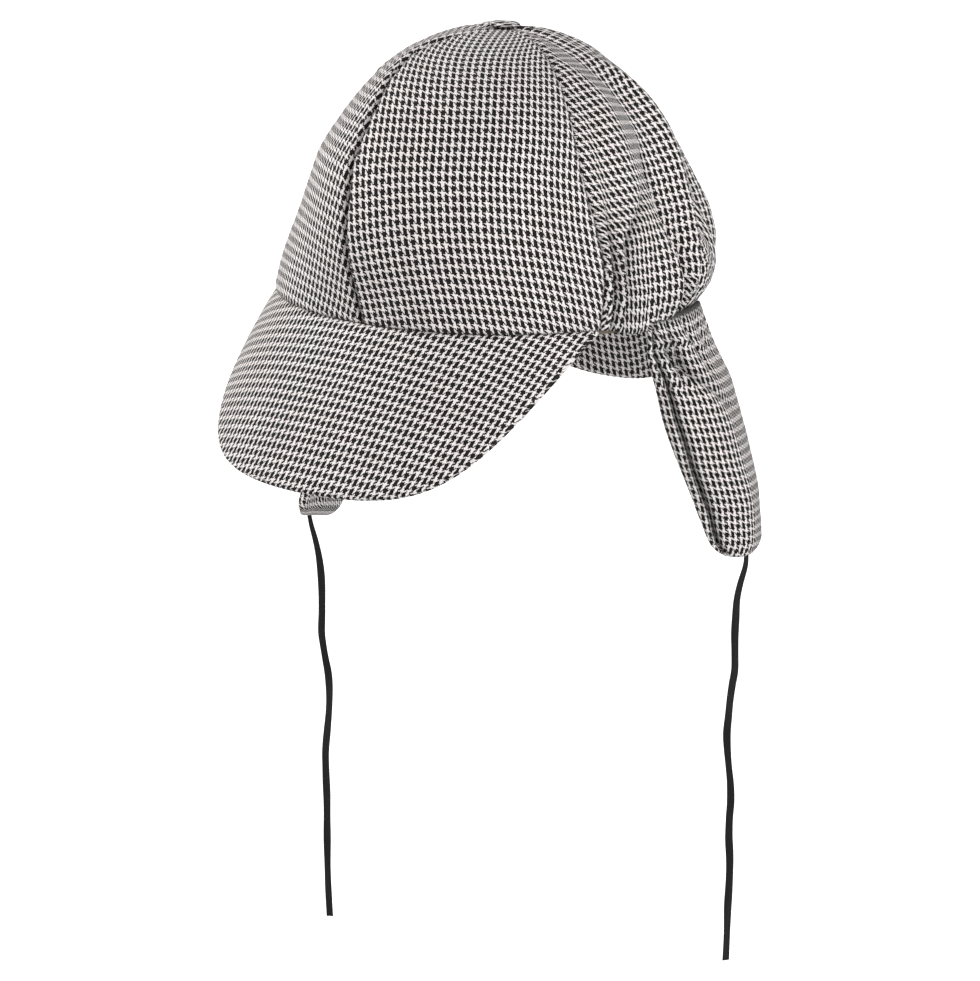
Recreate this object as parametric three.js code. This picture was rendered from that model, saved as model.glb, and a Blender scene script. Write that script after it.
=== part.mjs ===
// Deerstalker hat in small-check cloth: a six-panel crown gathered at the sides and back,
// a peak in front and behind, two padded ear flaps that hang down, a ribbon tie on each flap,
// a sweatband and a covered button.
// Millimetres and degrees. +Z is up and the hat faces -Y, so the wearer's left is +X.
// The origin is the middle of the head opening, level with the seam of crown and peaks.
// An angle round the hat starts at the front and grows towards the wearer's left.
import * as THREE from 'three';

// Head opening, measured to the outside of the cloth.
const openingFront = 96;
const openingSide = 87;

// Cloth and clearances.
const clothThickness = 2;
const seamGap = 0.3;
const planSquareness = 2.1;

// Crown outline: one row per level, each length measured from the origin.
// "lean" is how far the level sits towards the wearer's left.
const crownRows = [
  { height: 0, front: 96, back: 96, side: 87, lean: 0 },
  { height: 14, front: 97, back: 102, side: 85.5, lean: 2.5 },
  { height: 30, front: 97.5, back: 99.5, side: 80.5, lean: 5 },
  { height: 47, front: 96, back: 92, side: 74.5, lean: 6 },
  { height: 63, front: 92.5, back: 82, side: 68.5, lean: 6 },
  { height: 77, front: 84.5, back: 70.5, side: 61, lean: 6 },
  { height: 89, front: 74.5, back: 58.5, side: 52, lean: 5.5 },
  { height: 98.5, front: 62, back: 46, side: 41.5, lean: 4.5 },
  { height: 105.5, front: 45.5, back: 36, side: 29.5, lean: 3 },
  { height: 110, front: 23, back: 23, side: 16.5, lean: 1.5 },
  { height: 111.5, front: -4, back: 4, side: 0, lean: 0 },
];
const apexBack = 4;

// Seams of the crown: the angle of each seam at the same levels, for the left half.
const seamRows = [
  { middle: 1, side: 67.5, rear: 102 },
  { middle: -2.5, side: 67.5, rear: 102.5 },
  { middle: -5.5, side: 68, rear: 105 },
  { middle: -7.5, side: 67, rear: 110 },
  { middle: -9.5, side: 66, rear: 116 },
  { middle: -11, side: 66, rear: 121 },
  { middle: -13.5, side: 67, rear: 124 },
  { middle: -19, side: 69, rear: 125 },
  { middle: -26, side: 72, rear: 126 },
  { middle: -28, side: 74, rear: 127 },
  { middle: -28, side: 75, rear: 128 },
];

// Folds and gathers of the left half, from the side seam to the back.
// foot, waist and head are the fold's angle at the opening, at waistHeight and at headHeight.
// lift is outwards when positive, width is in degrees and top is where the fold dies out.
const waistHeight = 45;
const headHeight = 88;
const folds = [
  { name: 'deep tuck', foot: 70.5, waist: 70.5, head: 70.5, width: 1.9, lift: -5, top: 44 },
  { name: 'tuck branch', foot: 75.5, waist: 80, head: 93, width: 2.6, lift: -2.5, top: 60 },
  { name: 'side puff', foot: 83.5, waist: 83.5, head: 84, width: 4, lift: 3.5, top: 52 },
  { name: 'long valley', foot: 97.5, waist: 88.5, head: 97, width: 3.4, lift: -3.5, top: 106 },
  { name: 'long crest', foot: 99.5, waist: 99, head: 107, width: 5, lift: 2.5, top: 100 },
  { name: 'seam tuck', foot: 102.5, waist: 109, head: 122, width: 2.4, lift: -2.5, top: 56 },
  { name: 'back puff 1', foot: 111, waist: 114, head: 120, width: 4.2, lift: 2.8, top: 40 },
  { name: 'back tuck 1', foot: 119, waist: 121, head: 126, width: 2.6, lift: -2.5, top: 44 },
  { name: 'back puff 2', foot: 127, waist: 129, head: 132, width: 4.4, lift: 3.2, top: 42 },
  { name: 'back tuck 2', foot: 135, waist: 137, head: 140, width: 2.6, lift: -2.5, top: 46 },
  { name: 'back puff 3', foot: 143, waist: 145, head: 147, width: 4.4, lift: 3.8, top: 50 },
  { name: 'back tuck 3', foot: 151, waist: 152, head: 153, width: 2.6, lift: -2.5, top: 42 },
  { name: 'back puff 4', foot: 159, waist: 160, head: 161, width: 4.4, lift: 3.6, top: 54 },
  { name: 'back tuck 4', foot: 167, waist: 168, head: 169, width: 2.6, lift: -2.5, top: 46 },
  { name: 'back puff 5', foot: 174, waist: 174, head: 174, width: 4, lift: 3, top: 50 },
];
const foldFoot = 14;
const foldFade = 22;
// Where the crown's hem arches up over the sweatband behind each ear flap.
const hemArch = { angle: 119, width: 6, rise: 4 };
const centreSeamDip = 1.2;
const centreSeamWidth = 5;

// Covered button on the crown.
const buttonRadius = 6.8;
const buttonRise = 2.2;

// Share of the way to the apex at which the panels end, hidden under the button, and how
// much closer together their rows of points stand towards it.
const crownTop = 0.978;
const crownCrowding = 1.15;

// Sweatband inside the opening.
const sweatbandThickness = 1.4;
const sweatbandInset = 3.4;
const sweatbandTopInset = 5.9;
const sweatbandBottom = -3;
const sweatbandTop = 9;

// Peaks: a stiff board in cloth with almost parallel fall lines. slope is how steeply they
// drop, length is the longest of them, and spread is how much they fan out. The corners get
// squarer with cornering and fuller with rounding.
const frontPeak = {
  name: 'front_peak', middle: -0.5, halfAngle: 67, length: 73.5, cornering: 5, rounding: 0.86,
  slopeMiddle: 60, slopeEnd: 42, spread: 0.03, crown: 1.5, thickness: 3,
};
const backPeak = {
  name: 'back_peak', middle: 186, halfAngle: 48, length: 63, cornering: 2.3, rounding: 1.1,
  slopeMiddle: 68, slopeEnd: 58, spread: 0.3, crown: 1.5, thickness: 3,
};
const peakEndLength = 1.2;

// Ear flap: one row per level down the flap. fore and aft are its edges along Y, out is how
// far its middle stands from the middle of the hat, pad is half its thickness, and wrap is
// how much of the opening's curve it still follows.
const flapRows = [
  { level: -0.4, fore: -10, aft: 41, out: 86.6, pad: 2.4, wrap: 1 },
  { level: -8, fore: -11.5, aft: 44, out: 89, pad: 3.6, wrap: 0.8 },
  { level: -17, fore: -12, aft: 47, out: 91.5, pad: 5.2, wrap: 0.5 },
  { level: -30, fore: -9, aft: 51.5, out: 94.5, pad: 6.6, wrap: 0.25 },
  { level: -45, fore: -5, aft: 54, out: 97.5, pad: 7.2, wrap: 0.1 },
  { level: -60, fore: 0, aft: 57.5, out: 99.5, pad: 7, wrap: 0.05 },
  { level: -76, fore: 8, aft: 61, out: 101.5, pad: 6.4, wrap: 0 },
  { level: -90, fore: 16, aft: 63, out: 103, pad: 5.4, wrap: 0 },
  { level: -101, fore: 24, aft: 62, out: 104, pad: 4.2, wrap: 0 },
  { level: -108, fore: 32, aft: 56, out: 104.5, pad: 2.6, wrap: 0 },
];
const flapSectionSquareness = 2.6;
const rightFlapReach = 1.13;
const rightFlapForward = 14;

// Ribbon ties: the route of each ribbon from its flap to its cut end.
const tieWidth = 3.4;
const tieThickness = 1.2;
const tieLeftRoute = [
  [104, 49.7, -108.4], [104, 49.2, -114.5], [104, 45.8, -121.5], [104.4, 43, -128], [104.6, 42.4, -136],
  [104.3, 42.9, -144], [104, 44.2, -152], [104, 44.8, -160], [104.2, 43, -166], [104.4, 41.4, -172.5],
  [104.4, 40.6, -180], [104, 40.7, -187.5], [104, 41.8, -195], [104.2, 43.4, -203], [104.4, 45.1, -211],
  [104.3, 46.2, -219.5], [104, 46.3, -227.5], [104, 46.6, -236], [104.2, 47.4, -243], [104.3, 48, -249.5],
  [104.2, 48.4, -259], [104, 48.6, -268.5], [104, 48.9, -277], [104, 49, -285], [104, 48.9, -293.6],
];
const tieRightRoute = [
  [-104, 16, -122.6], [-104, 17.6, -127], [-104, 20.9, -134.5], [-104.3, 24.2, -143], [-104.4, 26.1, -151],
  [-104.2, 26.8, -159], [-104, 27, -169.5], [-104, 27.1, -178.5], [-104.2, 29, -185.5], [-104.4, 31.4, -192.5],
  [-104.3, 33.5, -199.5], [-104, 34.3, -207.5], [-104, 34.4, -216.5], [-104.2, 33.8, -226.5], [-104.3, 33.1, -237],
  [-104.1, 33.7, -248.5], [-104, 34.8, -260.5], [-104.1, 35.7, -276], [-104.2, 36.4, -286.5], [-104.1, 37.1, -297],
  [-104, 38.2, -307.5], [-104, 39.6, -318],
];
const tieStep = 8;

// Grid sizes.
const crownSteps = 14;
const frontPanelSteps = 10;
const sidePanelSteps = 20;
const backPanelSteps = 30;
const peakSteps = 22;
const peakRows = 6;
const flapSteps = 19;
const flapRounds = 16;
const ringSteps = 60;

const degree = Math.PI / 180;
const smooth = (x) => { const t = Math.min(Math.max(x, 0), 1); return t * t * (3 - 2 * t); };
const mix = (a, b, t) => a + (b - a) * t;

// Value of a column at t from 0 to 1 down its rows, along a smooth curve through every row.
function along(rows, column, t) {
  const last = rows.length - 1;
  const place = Math.min(Math.max(t, 0), 1) * last;
  const row = Math.min(Math.floor(place), last - 1);
  const part = place - row;
  const value = (index) => rows[index][column];
  const b = value(row);
  const c = value(row + 1);
  const a = row > 0 ? value(row - 1) : 2 * b - c;
  const d = row + 2 <= last ? value(row + 2) : 2 * c - b;
  return 0.5 * (2 * b + (c - a) * part + (2 * a - 5 * b + 4 * c - d) * part ** 2
    + (3 * b - a - 3 * c + d) * part ** 3);
}

// Closed mesh from two matching grids, outer and inner, joined round their edges.
function shell(outer, inner) {
  const rows = outer.length;
  const columns = outer[0].length;
  const points = [...outer.flat(), ...inner.flat()];
  const offset = rows * columns;
  const at = (side, row, column) => side * offset + row * columns + column;
  const faces = [];
  const quad = (a, b, c, d) => faces.push([a, b, c], [a, c, d]);
  for (let row = 0; row < rows - 1; row += 1) {
    for (let column = 0; column < columns - 1; column += 1) {
      quad(at(0, row, column), at(0, row, column + 1), at(0, row + 1, column + 1), at(0, row + 1, column));
      quad(at(1, row, column), at(1, row + 1, column), at(1, row + 1, column + 1), at(1, row, column + 1));
    }
  }
  for (let row = 0; row < rows - 1; row += 1) {
    const end = columns - 1;
    quad(at(0, row, 0), at(0, row + 1, 0), at(1, row + 1, 0), at(1, row, 0));
    quad(at(0, row, end), at(1, row, end), at(1, row + 1, end), at(0, row + 1, end));
  }
  for (let column = 0; column < columns - 1; column += 1) {
    const end = rows - 1;
    quad(at(0, 0, column), at(1, 0, column), at(1, 0, column + 1), at(0, 0, column + 1));
    quad(at(0, end, column), at(0, end, column + 1), at(1, end, column + 1), at(1, end, column));
  }
  return outward(points, faces);
}

// Closed mesh from rings of points that stack into a tube, each end closed by a fan.
function tube(rings) {
  const count = rings[0].length;
  const points = rings.flat();
  const faces = [];
  for (let row = 0; row < rings.length - 1; row += 1) {
    for (let step = 0; step < count; step += 1) {
      const next = (step + 1) % count;
      const a = row * count + step;
      const b = row * count + next;
      faces.push([a, b, b + count], [a, b + count, a + count]);
    }
  }
  [0, rings.length - 1].forEach((row) => {
    const middle = new THREE.Vector3();
    rings[row].forEach((point) => middle.addScaledVector(point, 1 / count));
    points.push(middle);
    for (let step = 0; step < count; step += 1) {
      const next = (step + 1) % count;
      const fan = [points.length - 1, row * count + next, row * count + step];
      faces.push(row === 0 ? fan : fan.reverse());
    }
  });
  return outward(points, faces);
}

// Closed band whose section, a loop of points, is carried round a full turn.
function loopBand(sections) {
  const count = sections[0].length;
  const points = sections.flat();
  const faces = [];
  sections.forEach((section, turn) => {
    const nextTurn = (turn + 1) % sections.length;
    for (let step = 0; step < count; step += 1) {
      const next = (step + 1) % count;
      const a = turn * count + step;
      const b = turn * count + next;
      const c = nextTurn * count + next;
      const d = nextTurn * count + step;
      faces.push([a, b, c], [a, c, d]);
    }
  });
  return outward(points, faces);
}

// Geometry with its faces turned so that the closed body has a positive volume.
function outward(points, faces) {
  let volume = 0;
  faces.forEach(([a, b, c]) => {
    volume += points[a].dot(new THREE.Vector3().crossVectors(points[b], points[c]));
  });
  const turned = volume > 0 ? faces : faces.map(([a, b, c]) => [a, c, b]);
  const geometry = new THREE.BufferGeometry();
  geometry.setAttribute('position', new THREE.Float32BufferAttribute(points.flatMap((p) => [p.x, p.y, p.z]), 3));
  geometry.setIndex(turned.flat());
  return geometry;
}

// Outline of the crown without folds at an angle and at t from the opening to the top.
function crownBase(angle, t) {
  const turn = angle * degree;
  const radius = (Math.abs(Math.cos(turn)) ** planSquareness + Math.abs(Math.sin(turn)) ** planSquareness)
    ** (-1 / planSquareness);
  const forward = Math.cos(turn) * radius;
  const sideways = Math.sin(turn) * radius;
  const middle = apexBack * t;
  const reach = forward > 0
    ? -(along(crownRows, 'front', t) + middle) * forward
    : -(along(crownRows, 'back', t) - middle) * forward;
  return new THREE.Vector3(
    along(crownRows, 'lean', t) + along(crownRows, 'side', t) * sideways,
    middle + reach,
    along(crownRows, 'height', t),
  );
}

// Direction that faces away from the crown without its folds, level at the opening.
function crownFacing(angle, t) {
  const low = Math.min(Math.max(t, 0.01), 0.97);
  const step = 0.01;
  const round = crownBase(angle + 1, low).sub(crownBase(angle - 1, low));
  const rise = crownBase(angle, low + step).sub(crownBase(angle, low - step));
  const facing = round.cross(rise).normalize();
  facing.z *= smooth(along(crownRows, 'height', t) / foldFoot);
  return facing.normalize();
}

// Height of the folds over the crown at an angle, on either half.
function foldLift(angle, t) {
  const height = along(crownRows, 'height', t);
  const half = Math.abs(angle);
  let lift = 0;
  folds.forEach((fold) => {
    const middle = height < waistHeight
      ? mix(fold.foot, fold.waist, smooth(height / waistHeight))
      : mix(fold.waist, fold.head, smooth((height - waistHeight) / (headHeight - waistHeight)));
    const fade = smooth(height / foldFoot) * smooth((fold.top - height) / foldFade);
    lift += fold.lift * fade * Math.exp(-(((half - middle) / fold.width) ** 2));
  });
  const seam = along(seamRows, 'middle', t);
  const dip = centreSeamDip * smooth(height / foldFoot) * (1 - t);
  return lift - dip * Math.exp(-(((angle - seam) / centreSeamWidth) ** 2));
}

// Angle of a seam at t. The right half mirrors the left, leaning with the middle seam.
function seamAngle(name, t) {
  const middle = along(seamRows, 'middle', t);
  const angles = {
    middle,
    side: along(seamRows, 'side', t),
    rear: along(seamRows, 'rear', t),
    back: 180,
    sideRight: -along(seamRows, 'side', t) + middle / 2,
    rearRight: -along(seamRows, 'rear', t),
    backRight: -180,
  };
  return angles[name];
}

// Share of the way up at which the crown's cloth begins at an angle.
function hemShare(angle) {
  const rise = hemArch.rise * Math.exp(-(((Math.abs(angle) - hemArch.angle) / hemArch.width) ** 2));
  return rise / crownRows[1].height / (crownRows.length - 1);
}

function crownPanel(from, to, steps) {
  const outer = [];
  const inner = [];
  for (let row = 0; row <= crownSteps; row += 1) {
    const share = 1 - (1 - row / crownSteps) ** crownCrowding;
    const t = crownTop * share;
    const around = crownBase(90, t).distanceTo(crownBase(-90, t)) / 2;
    const clear = seamGap / 2 / around / degree;
    const first = seamAngle(from, t) + clear;
    const last = seamAngle(to, t) - clear;
    const outerRow = [];
    const innerRow = [];
    for (let step = 0; step <= steps; step += 1) {
      const angle = mix(first, last, step / steps);
      const level = mix(hemShare(angle), crownTop, share);
      const facing = crownFacing(angle, level);
      const point = crownBase(angle, level).addScaledVector(facing, foldLift(angle, level));
      outerRow.push(point);
      innerRow.push(point.clone().addScaledVector(facing, -clothThickness));
    }
    outer.push(outerRow);
    inner.push(innerRow);
  }
  return shell(outer, inner);
}

function coveredButton() {
  const profile = [[0, 0], [0.86, 0], [1, 0.22], [0.98, 0.5], [0.8, 0.8], [0.45, 0.97], [0, 1]];
  const points = profile.map(([radius, rise]) => new THREE.Vector2(radius * buttonRadius, rise * buttonRise));
  const geometry = new THREE.LatheGeometry(points, 20);
  geometry.rotateX(Math.PI / 2);
  return geometry;
}

// Point on the opening, moved inwards by an inset.
function openingPoint(angle, inset, height) {
  const turn = angle * degree;
  return new THREE.Vector3(
    (openingSide - inset) * Math.sin(turn),
    -(openingFront - inset) * Math.cos(turn),
    height,
  );
}

// How far the opening reaches to the side at a place along Y.
function openingReach(y) {
  return openingSide * Math.sqrt(1 - (y / openingFront) ** 2);
}

// Sweatband: from just below the opening up the inside of the crown wall.
function sweatband() {
  const topShare = sweatbandTop / crownRows[1].height / (crownRows.length - 1);
  const sections = [];
  for (let step = 0; step < ringSteps; step += 1) {
    const angle = (360 * step) / ringSteps;
    const facing = crownFacing(angle, topShare);
    const top = crownBase(angle, topShare);
    sections.push([
      openingPoint(angle, sweatbandInset, sweatbandBottom),
      top.clone().addScaledVector(facing, -sweatbandTopInset),
      top.clone().addScaledVector(facing, -sweatbandTopInset - sweatbandThickness),
      openingPoint(angle, sweatbandInset + sweatbandThickness, sweatbandBottom),
    ]);
  }
  return loopBand(sections);
}

// Peak: from each point of the opening a fall line runs out and down to the edge.
function peak(shape) {
  const outer = [];
  const inner = [];
  for (let row = 0; row <= peakRows; row += 1) {
    const outerRow = [];
    const innerRow = [];
    for (let step = 0; step <= peakSteps; step += 1) {
      const across = -Math.cos((Math.PI * (step + 0.5)) / (peakSteps + 1));
      const angle = shape.middle + shape.halfAngle * across;
      const heading = (shape.middle + shape.spread * shape.halfAngle * across) * degree;
      const slope = mix(shape.slopeMiddle, shape.slopeEnd, across ** 2) * degree;
      const reach = (1 - Math.abs(across) ** shape.cornering) ** (1 / shape.rounding);
      const out = new THREE.Vector3(Math.sin(heading), -Math.cos(heading), 0);
      const fall = out.clone().multiplyScalar(Math.cos(slope)).setZ(-Math.sin(slope));
      const facing = out.clone().multiplyScalar(Math.sin(slope)).setZ(Math.cos(slope));
      const share = row / peakRows;
      const bulge = shape.crown * 4 * share * (1 - share) * reach;
      const point = openingPoint(angle, 0, -seamGap)
        .addScaledVector(fall, (shape.length * reach + peakEndLength) * share)
        .addScaledVector(facing, bulge);
      outerRow.push(point);
      innerRow.push(point.clone().addScaledVector(facing, -shape.thickness));
    }
    outer.push(outerRow);
    inner.push(innerRow);
  }
  return shell(outer, inner);
}

// Ear flap on side +1 (wearer's left) or -1: rounded sections stacked down the flap.
function earFlap(side) {
  const rings = [];
  const reach = side > 0 ? 1 : rightFlapReach;
  const forward = side > 0 ? 0 : rightFlapForward;
  for (let row = 0; row <= flapSteps; row += 1) {
    const t = row / flapSteps;
    const fore = along(flapRows, 'fore', t);
    const aft = along(flapRows, 'aft', t);
    const level = along(flapRows, 'level', t);
    const ring = [];
    for (let step = 0; step < flapRounds; step += 1) {
      const turn = (2 * Math.PI * step) / flapRounds;
      const radius = (Math.abs(Math.cos(turn)) ** flapSectionSquareness
        + Math.abs(Math.sin(turn)) ** flapSectionSquareness) ** (-1 / flapSectionSquareness);
      const across = Math.cos(turn) * radius;
      const pad = along(flapRows, 'pad', t) * Math.sin(turn) * radius;
      const middle = (fore + aft) / 2;
      const y = middle + ((aft - fore) / 2) * across;
      const curve = openingReach(y) - openingReach(middle);
      const out = along(flapRows, 'out', t) + pad + along(flapRows, 'wrap', t) * curve;
      ring.push(new THREE.Vector3(side * out, y - forward * t, level * mix(1, reach, t)));
    }
    rings.push(ring);
  }
  return tube(rings);
}

// Ribbon tie: a flat eight-sided section carried along the route.
function tie(route) {
  const curve = new THREE.CatmullRomCurve3(route.map((point) => new THREE.Vector3(...point)));
  const section = new THREE.Shape();
  for (let step = 0; step < 8; step += 1) {
    const turn = (Math.PI / 4) * (step + 0.5);
    const x = (tieThickness / 2) * Math.cos(turn);
    const y = (tieWidth / 2) * Math.sin(turn);
    if (step === 0) section.moveTo(x, y);
    else section.lineTo(x, y);
  }
  section.closePath();
  return new THREE.ExtrudeGeometry(section, {
    steps: Math.round(curve.getLength() / tieStep),
    extrudePath: curve,
    bevelEnabled: false,
  });
}

const checkCloth = { color: 0x8d8885, roughness: 0.9, metalness: 0 };
const bandCloth = { color: 0x7a7264, roughness: 0.85, metalness: 0 };
const ribbon = { color: 0x1b1b1c, roughness: 0.55, metalness: 0 };

const hat = new THREE.Group();

function add(name, geometry, finish) {
  const mesh = new THREE.Mesh(geometry, new THREE.MeshStandardMaterial(finish));
  mesh.name = name;
  hat.add(mesh);
  return mesh;
}

const panels = [
  ['crown_panel_front_left', 'middle', 'side', frontPanelSteps],
  ['crown_panel_side_left', 'side', 'rear', sidePanelSteps],
  ['crown_panel_back_left', 'rear', 'back', backPanelSteps],
  ['crown_panel_front_right', 'sideRight', 'middle', frontPanelSteps],
  ['crown_panel_side_right', 'rearRight', 'sideRight', sidePanelSteps],
  ['crown_panel_back_right', 'backRight', 'rearRight', backPanelSteps],
];
panels.forEach(([name, from, to, steps]) => add(name, crownPanel(from, to, steps), checkCloth));

const apex = crownRows[crownRows.length - 1];
const button = add('top_button', coveredButton(), checkCloth);
button.position.set(apex.lean, apexBack, apex.height + seamGap);

add('sweatband', sweatband(), bandCloth);
[frontPeak, backPeak].forEach((shape) => add(shape.name, peak(shape), checkCloth));
add('ear_flap_left', earFlap(1), checkCloth);
add('ear_flap_right', earFlap(-1), checkCloth);
add('tie_left', tie(tieLeftRoute), ribbon);
add('tie_right', tie(tieRightRoute), ribbon);

export default hat;
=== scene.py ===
import math

import bmesh
import bpy
import numpy as np
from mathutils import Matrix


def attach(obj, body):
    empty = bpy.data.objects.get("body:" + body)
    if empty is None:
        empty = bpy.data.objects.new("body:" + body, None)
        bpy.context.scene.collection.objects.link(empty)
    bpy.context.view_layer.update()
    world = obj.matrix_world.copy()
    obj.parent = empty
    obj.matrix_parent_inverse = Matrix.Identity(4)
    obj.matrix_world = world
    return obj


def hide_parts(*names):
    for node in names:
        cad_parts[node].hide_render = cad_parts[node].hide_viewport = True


# Deerstalker hat in small-check cloth. Lengths in the dictionaries are millimetres and angles
# are degrees; meshes are metres. +Z is up, the hat faces -Y, and an angle round the hat starts
# at the front and grows towards the wearer's left (+X).
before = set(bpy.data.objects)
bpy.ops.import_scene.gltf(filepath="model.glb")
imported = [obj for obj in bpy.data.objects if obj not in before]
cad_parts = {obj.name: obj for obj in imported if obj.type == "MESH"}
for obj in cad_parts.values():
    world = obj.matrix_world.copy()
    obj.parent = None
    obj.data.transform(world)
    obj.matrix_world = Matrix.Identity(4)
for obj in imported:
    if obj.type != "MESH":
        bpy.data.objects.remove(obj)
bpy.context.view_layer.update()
scene = bpy.context.scene
mm = 0.001


# Camera.
# The photograph's view: where the camera looks, from where, and how far it is rolled.
photoView = {
    "azimuth": 34.0,
    "elevation": 14.2,
    "roll": 2.0,
    "distance": 2000.0,
    "target": (1.917, 2.642, -89.67),
    "lens": 170.07,
    "sensor": 36.0,
    "clip": (0.05, 50),
}


def standing(right, up, back, place):
    # the matrix of a camera or a lamp with these three directions at this place
    matrix = np.eye(4)
    matrix[:3] = np.stack([right, up, back, place], 1)
    return matrix.T.tolist()


def makeCamera(view):
    # back, right and up are the camera's own directions, turned about back by the roll
    a, e, r = (math.radians(view[k]) for k in ("azimuth", "elevation", "roll"))
    back = np.array([math.sin(a) * math.cos(e), -math.cos(a) * math.cos(e), math.sin(e)])
    level = np.array([math.cos(a), math.sin(a), 0.0])
    upright = np.cross(back, level)
    right = level * math.cos(r) + upright * math.sin(r)
    up = upright * math.cos(r) - level * math.sin(r)
    place = (np.array(view["target"]) + back * view["distance"]) * mm
    camera = bpy.data.objects.new("photoCamera", bpy.data.cameras.new("photoCamera"))
    scene.collection.objects.link(camera)
    camera.matrix_world = standing(right, up, back, place)
    camera.data.sensor_fit = "HORIZONTAL"
    camera.data.sensor_width = view["sensor"]
    camera.data.lens = view["lens"]
    camera.data.clip_start, camera.data.clip_end = view["clip"]
    scene.camera = camera


makeCamera(photoView)
print("camera placed")


# Small tools for shapes.
def smooth(x):
    # 0 below 0, 1 above 1 and an even S between
    t = np.clip(x, 0, 1)
    return t * t * (3 - 2 * t)


def bell(x):
    return np.exp(-x * x)


def crease(x):
    # like a bell with a sharp middle
    return np.exp(-np.abs(x) ** 1.2)


def mix(a, b, t):
    return a + (b - a) * t


def along(column, t):
    # smooth curve through a column of values, read at t from 0 at its first to 1 at its last
    column = np.asarray(column, float)
    last = len(column) - 1
    place = np.clip(t, 0, 1) * last
    row = np.minimum(place.astype(int), last - 1)
    part = place - row
    ends = np.concatenate([[2 * column[0] - column[1]], column, [2 * column[-1] - column[-2]]])
    a, b, c, d = ends[row], ends[row + 1], ends[row + 2], ends[row + 3]
    return 0.5 * (2 * b + (c - a) * part + (2 * a - 5 * b + 4 * c - d) * part**2
                  + (3 * b - a - 3 * c + d) * part**3)


def waver(x, y, size, seed):
    # gentle unevenness of about 1 either way: a sum of slow waves across x and y, both in mm
    rng = np.random.default_rng(seed)
    total = np.zeros(np.broadcast(x, y).shape)
    waves = 7
    for _ in range(waves):
        heading = rng.uniform(0, math.tau)
        pitch = size * rng.uniform(0.7, 1.6)
        phase = rng.uniform(0, math.tau)
        total += np.sin((x * math.cos(heading) + y * math.sin(heading)) * math.tau / pitch + phase)
    return total / (waves / 2)


def arcs(points, axis):
    # distance travelled along a grid of points, counted from its first row or column
    steps = np.linalg.norm(np.diff(points, axis=axis), axis=-1)
    start = np.zeros_like(np.take(steps, [0], axis=axis))
    return np.concatenate([start, np.cumsum(steps, axis=axis)], axis=axis)


def gridFaces(rows, columns, closed=False):
    # four corners for each cell of a grid whose points are stored row by row
    i = np.arange(rows - 1)[:, None]
    j = np.arange(columns if closed else columns - 1)[None, :]
    a = i * columns + j
    b = i * columns + (j + 1) % columns
    return np.stack([a, b, b + columns, a + columns], -1).reshape(-1, 4)


def makeMesh(name, grid, uv, closed=False, caps=False, inside=(0, 0, 30), shade=None):
    # A mesh from a grid of points in mm. uv is in mm on the flat cloth, and has one column more
    # than the grid where the grid closes round. Faces are turned away from the inside point.
    # shade is painted shade: how much darker the cloth is painted at each point, where it lies deep in a
    # fold.
    rows, columns = grid.shape[:2]
    faces = gridFaces(rows, columns, closed)
    corners = uv.reshape(-1, 2)[gridFaces(rows, uv.shape[1])].reshape(-1, 2)
    points = grid.reshape(-1, 3) - np.array(inside)
    a, b, c = points[faces[:, 0]], points[faces[:, 1]], points[faces[:, 2]]
    outward = np.einsum("ij,ij->i", a, np.cross(b, c)).sum() > 0
    if not outward:
        faces = faces[:, ::-1]
        corners = corners.reshape(-1, 4, 2)[:, ::-1].reshape(-1, 2)
    polygons = faces.tolist()
    if caps:
        for row, first in ((0, True), (rows - 1, False)):
            ring = (row * columns + np.arange(columns)).tolist()
            polygons.append(ring[::-1] if first == outward else ring)
            edge = uv[row, :columns]
            corners = np.concatenate([corners, edge[::-1] if first == outward else edge])
    mesh = bpy.data.meshes.new(name)
    mesh.from_pydata((grid.reshape(-1, 3) * mm).tolist(), [], polygons)
    layer = mesh.uv_layers.new(name="cloth")
    layer.data.foreach_set("uv", corners.astype(np.float32).ravel())
    mesh.polygons.foreach_set("use_smooth", np.ones(len(polygons), bool))
    if shade is not None:
        values = mesh.attributes.new("shade", "FLOAT", "POINT").data
        values.foreach_set("value", np.clip(shade, 0, 1).astype(np.float32).ravel())
    mesh.update()
    piece = bpy.data.objects.new(name, mesh)
    scene.collection.objects.link(piece)
    return piece


def thicken(piece, thickness):
    # gives a single sheet its wall, inwards from the face that shows
    wall = piece.modifiers.new("wall", "SOLIDIFY")
    wall.thickness = thickness * mm
    wall.offset = -1
    wall.use_rim = True


def settle(piece, node, material):
    # what every finished piece needs: material, body and CAD node
    piece.data.materials.append(material)
    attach(piece, "root")
    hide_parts(node)


# Materials.
class NodeKit:
    # short ways to place nodes in one node tree

    def __init__(self, tree):
        self.tree = tree

    def new(self, kind, **settings):
        node = self.tree.nodes.new(kind)
        for key, value in settings.items():
            setattr(node, key, value)
        return node

    def feed(self, socket, value):
        if isinstance(value, bpy.types.NodeSocket):
            self.tree.links.new(value, socket)
        else:
            socket.default_value = value

    def math(self, operation, *values):
        node = self.new("ShaderNodeMath", operation=operation)
        for socket, value in zip(node.inputs, values):
            self.feed(socket, value)
        return node.outputs[0]

    def blend(self, factor, a, b, kind="MIX"):
        node = self.new("ShaderNodeMix", data_type="RGBA", blend_type=kind)
        self.feed(node.inputs["Factor"], factor)
        self.feed(node.inputs[6], a)
        self.feed(node.inputs[7], b)
        return node.outputs[2]

    def split(self, vector):
        node = self.new("ShaderNodeSeparateXYZ")
        self.feed(node.inputs[0], vector)
        return node.outputs

    def noise(self, vector, scale, detail=2.0, roughness=0.5):
        node = self.new("ShaderNodeTexNoise")
        self.feed(node.inputs["Vector"], vector)
        node.inputs["Scale"].default_value = scale
        node.inputs["Detail"].default_value = detail
        node.inputs["Roughness"].default_value = roughness
        return node.outputs["Fac"]


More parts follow.
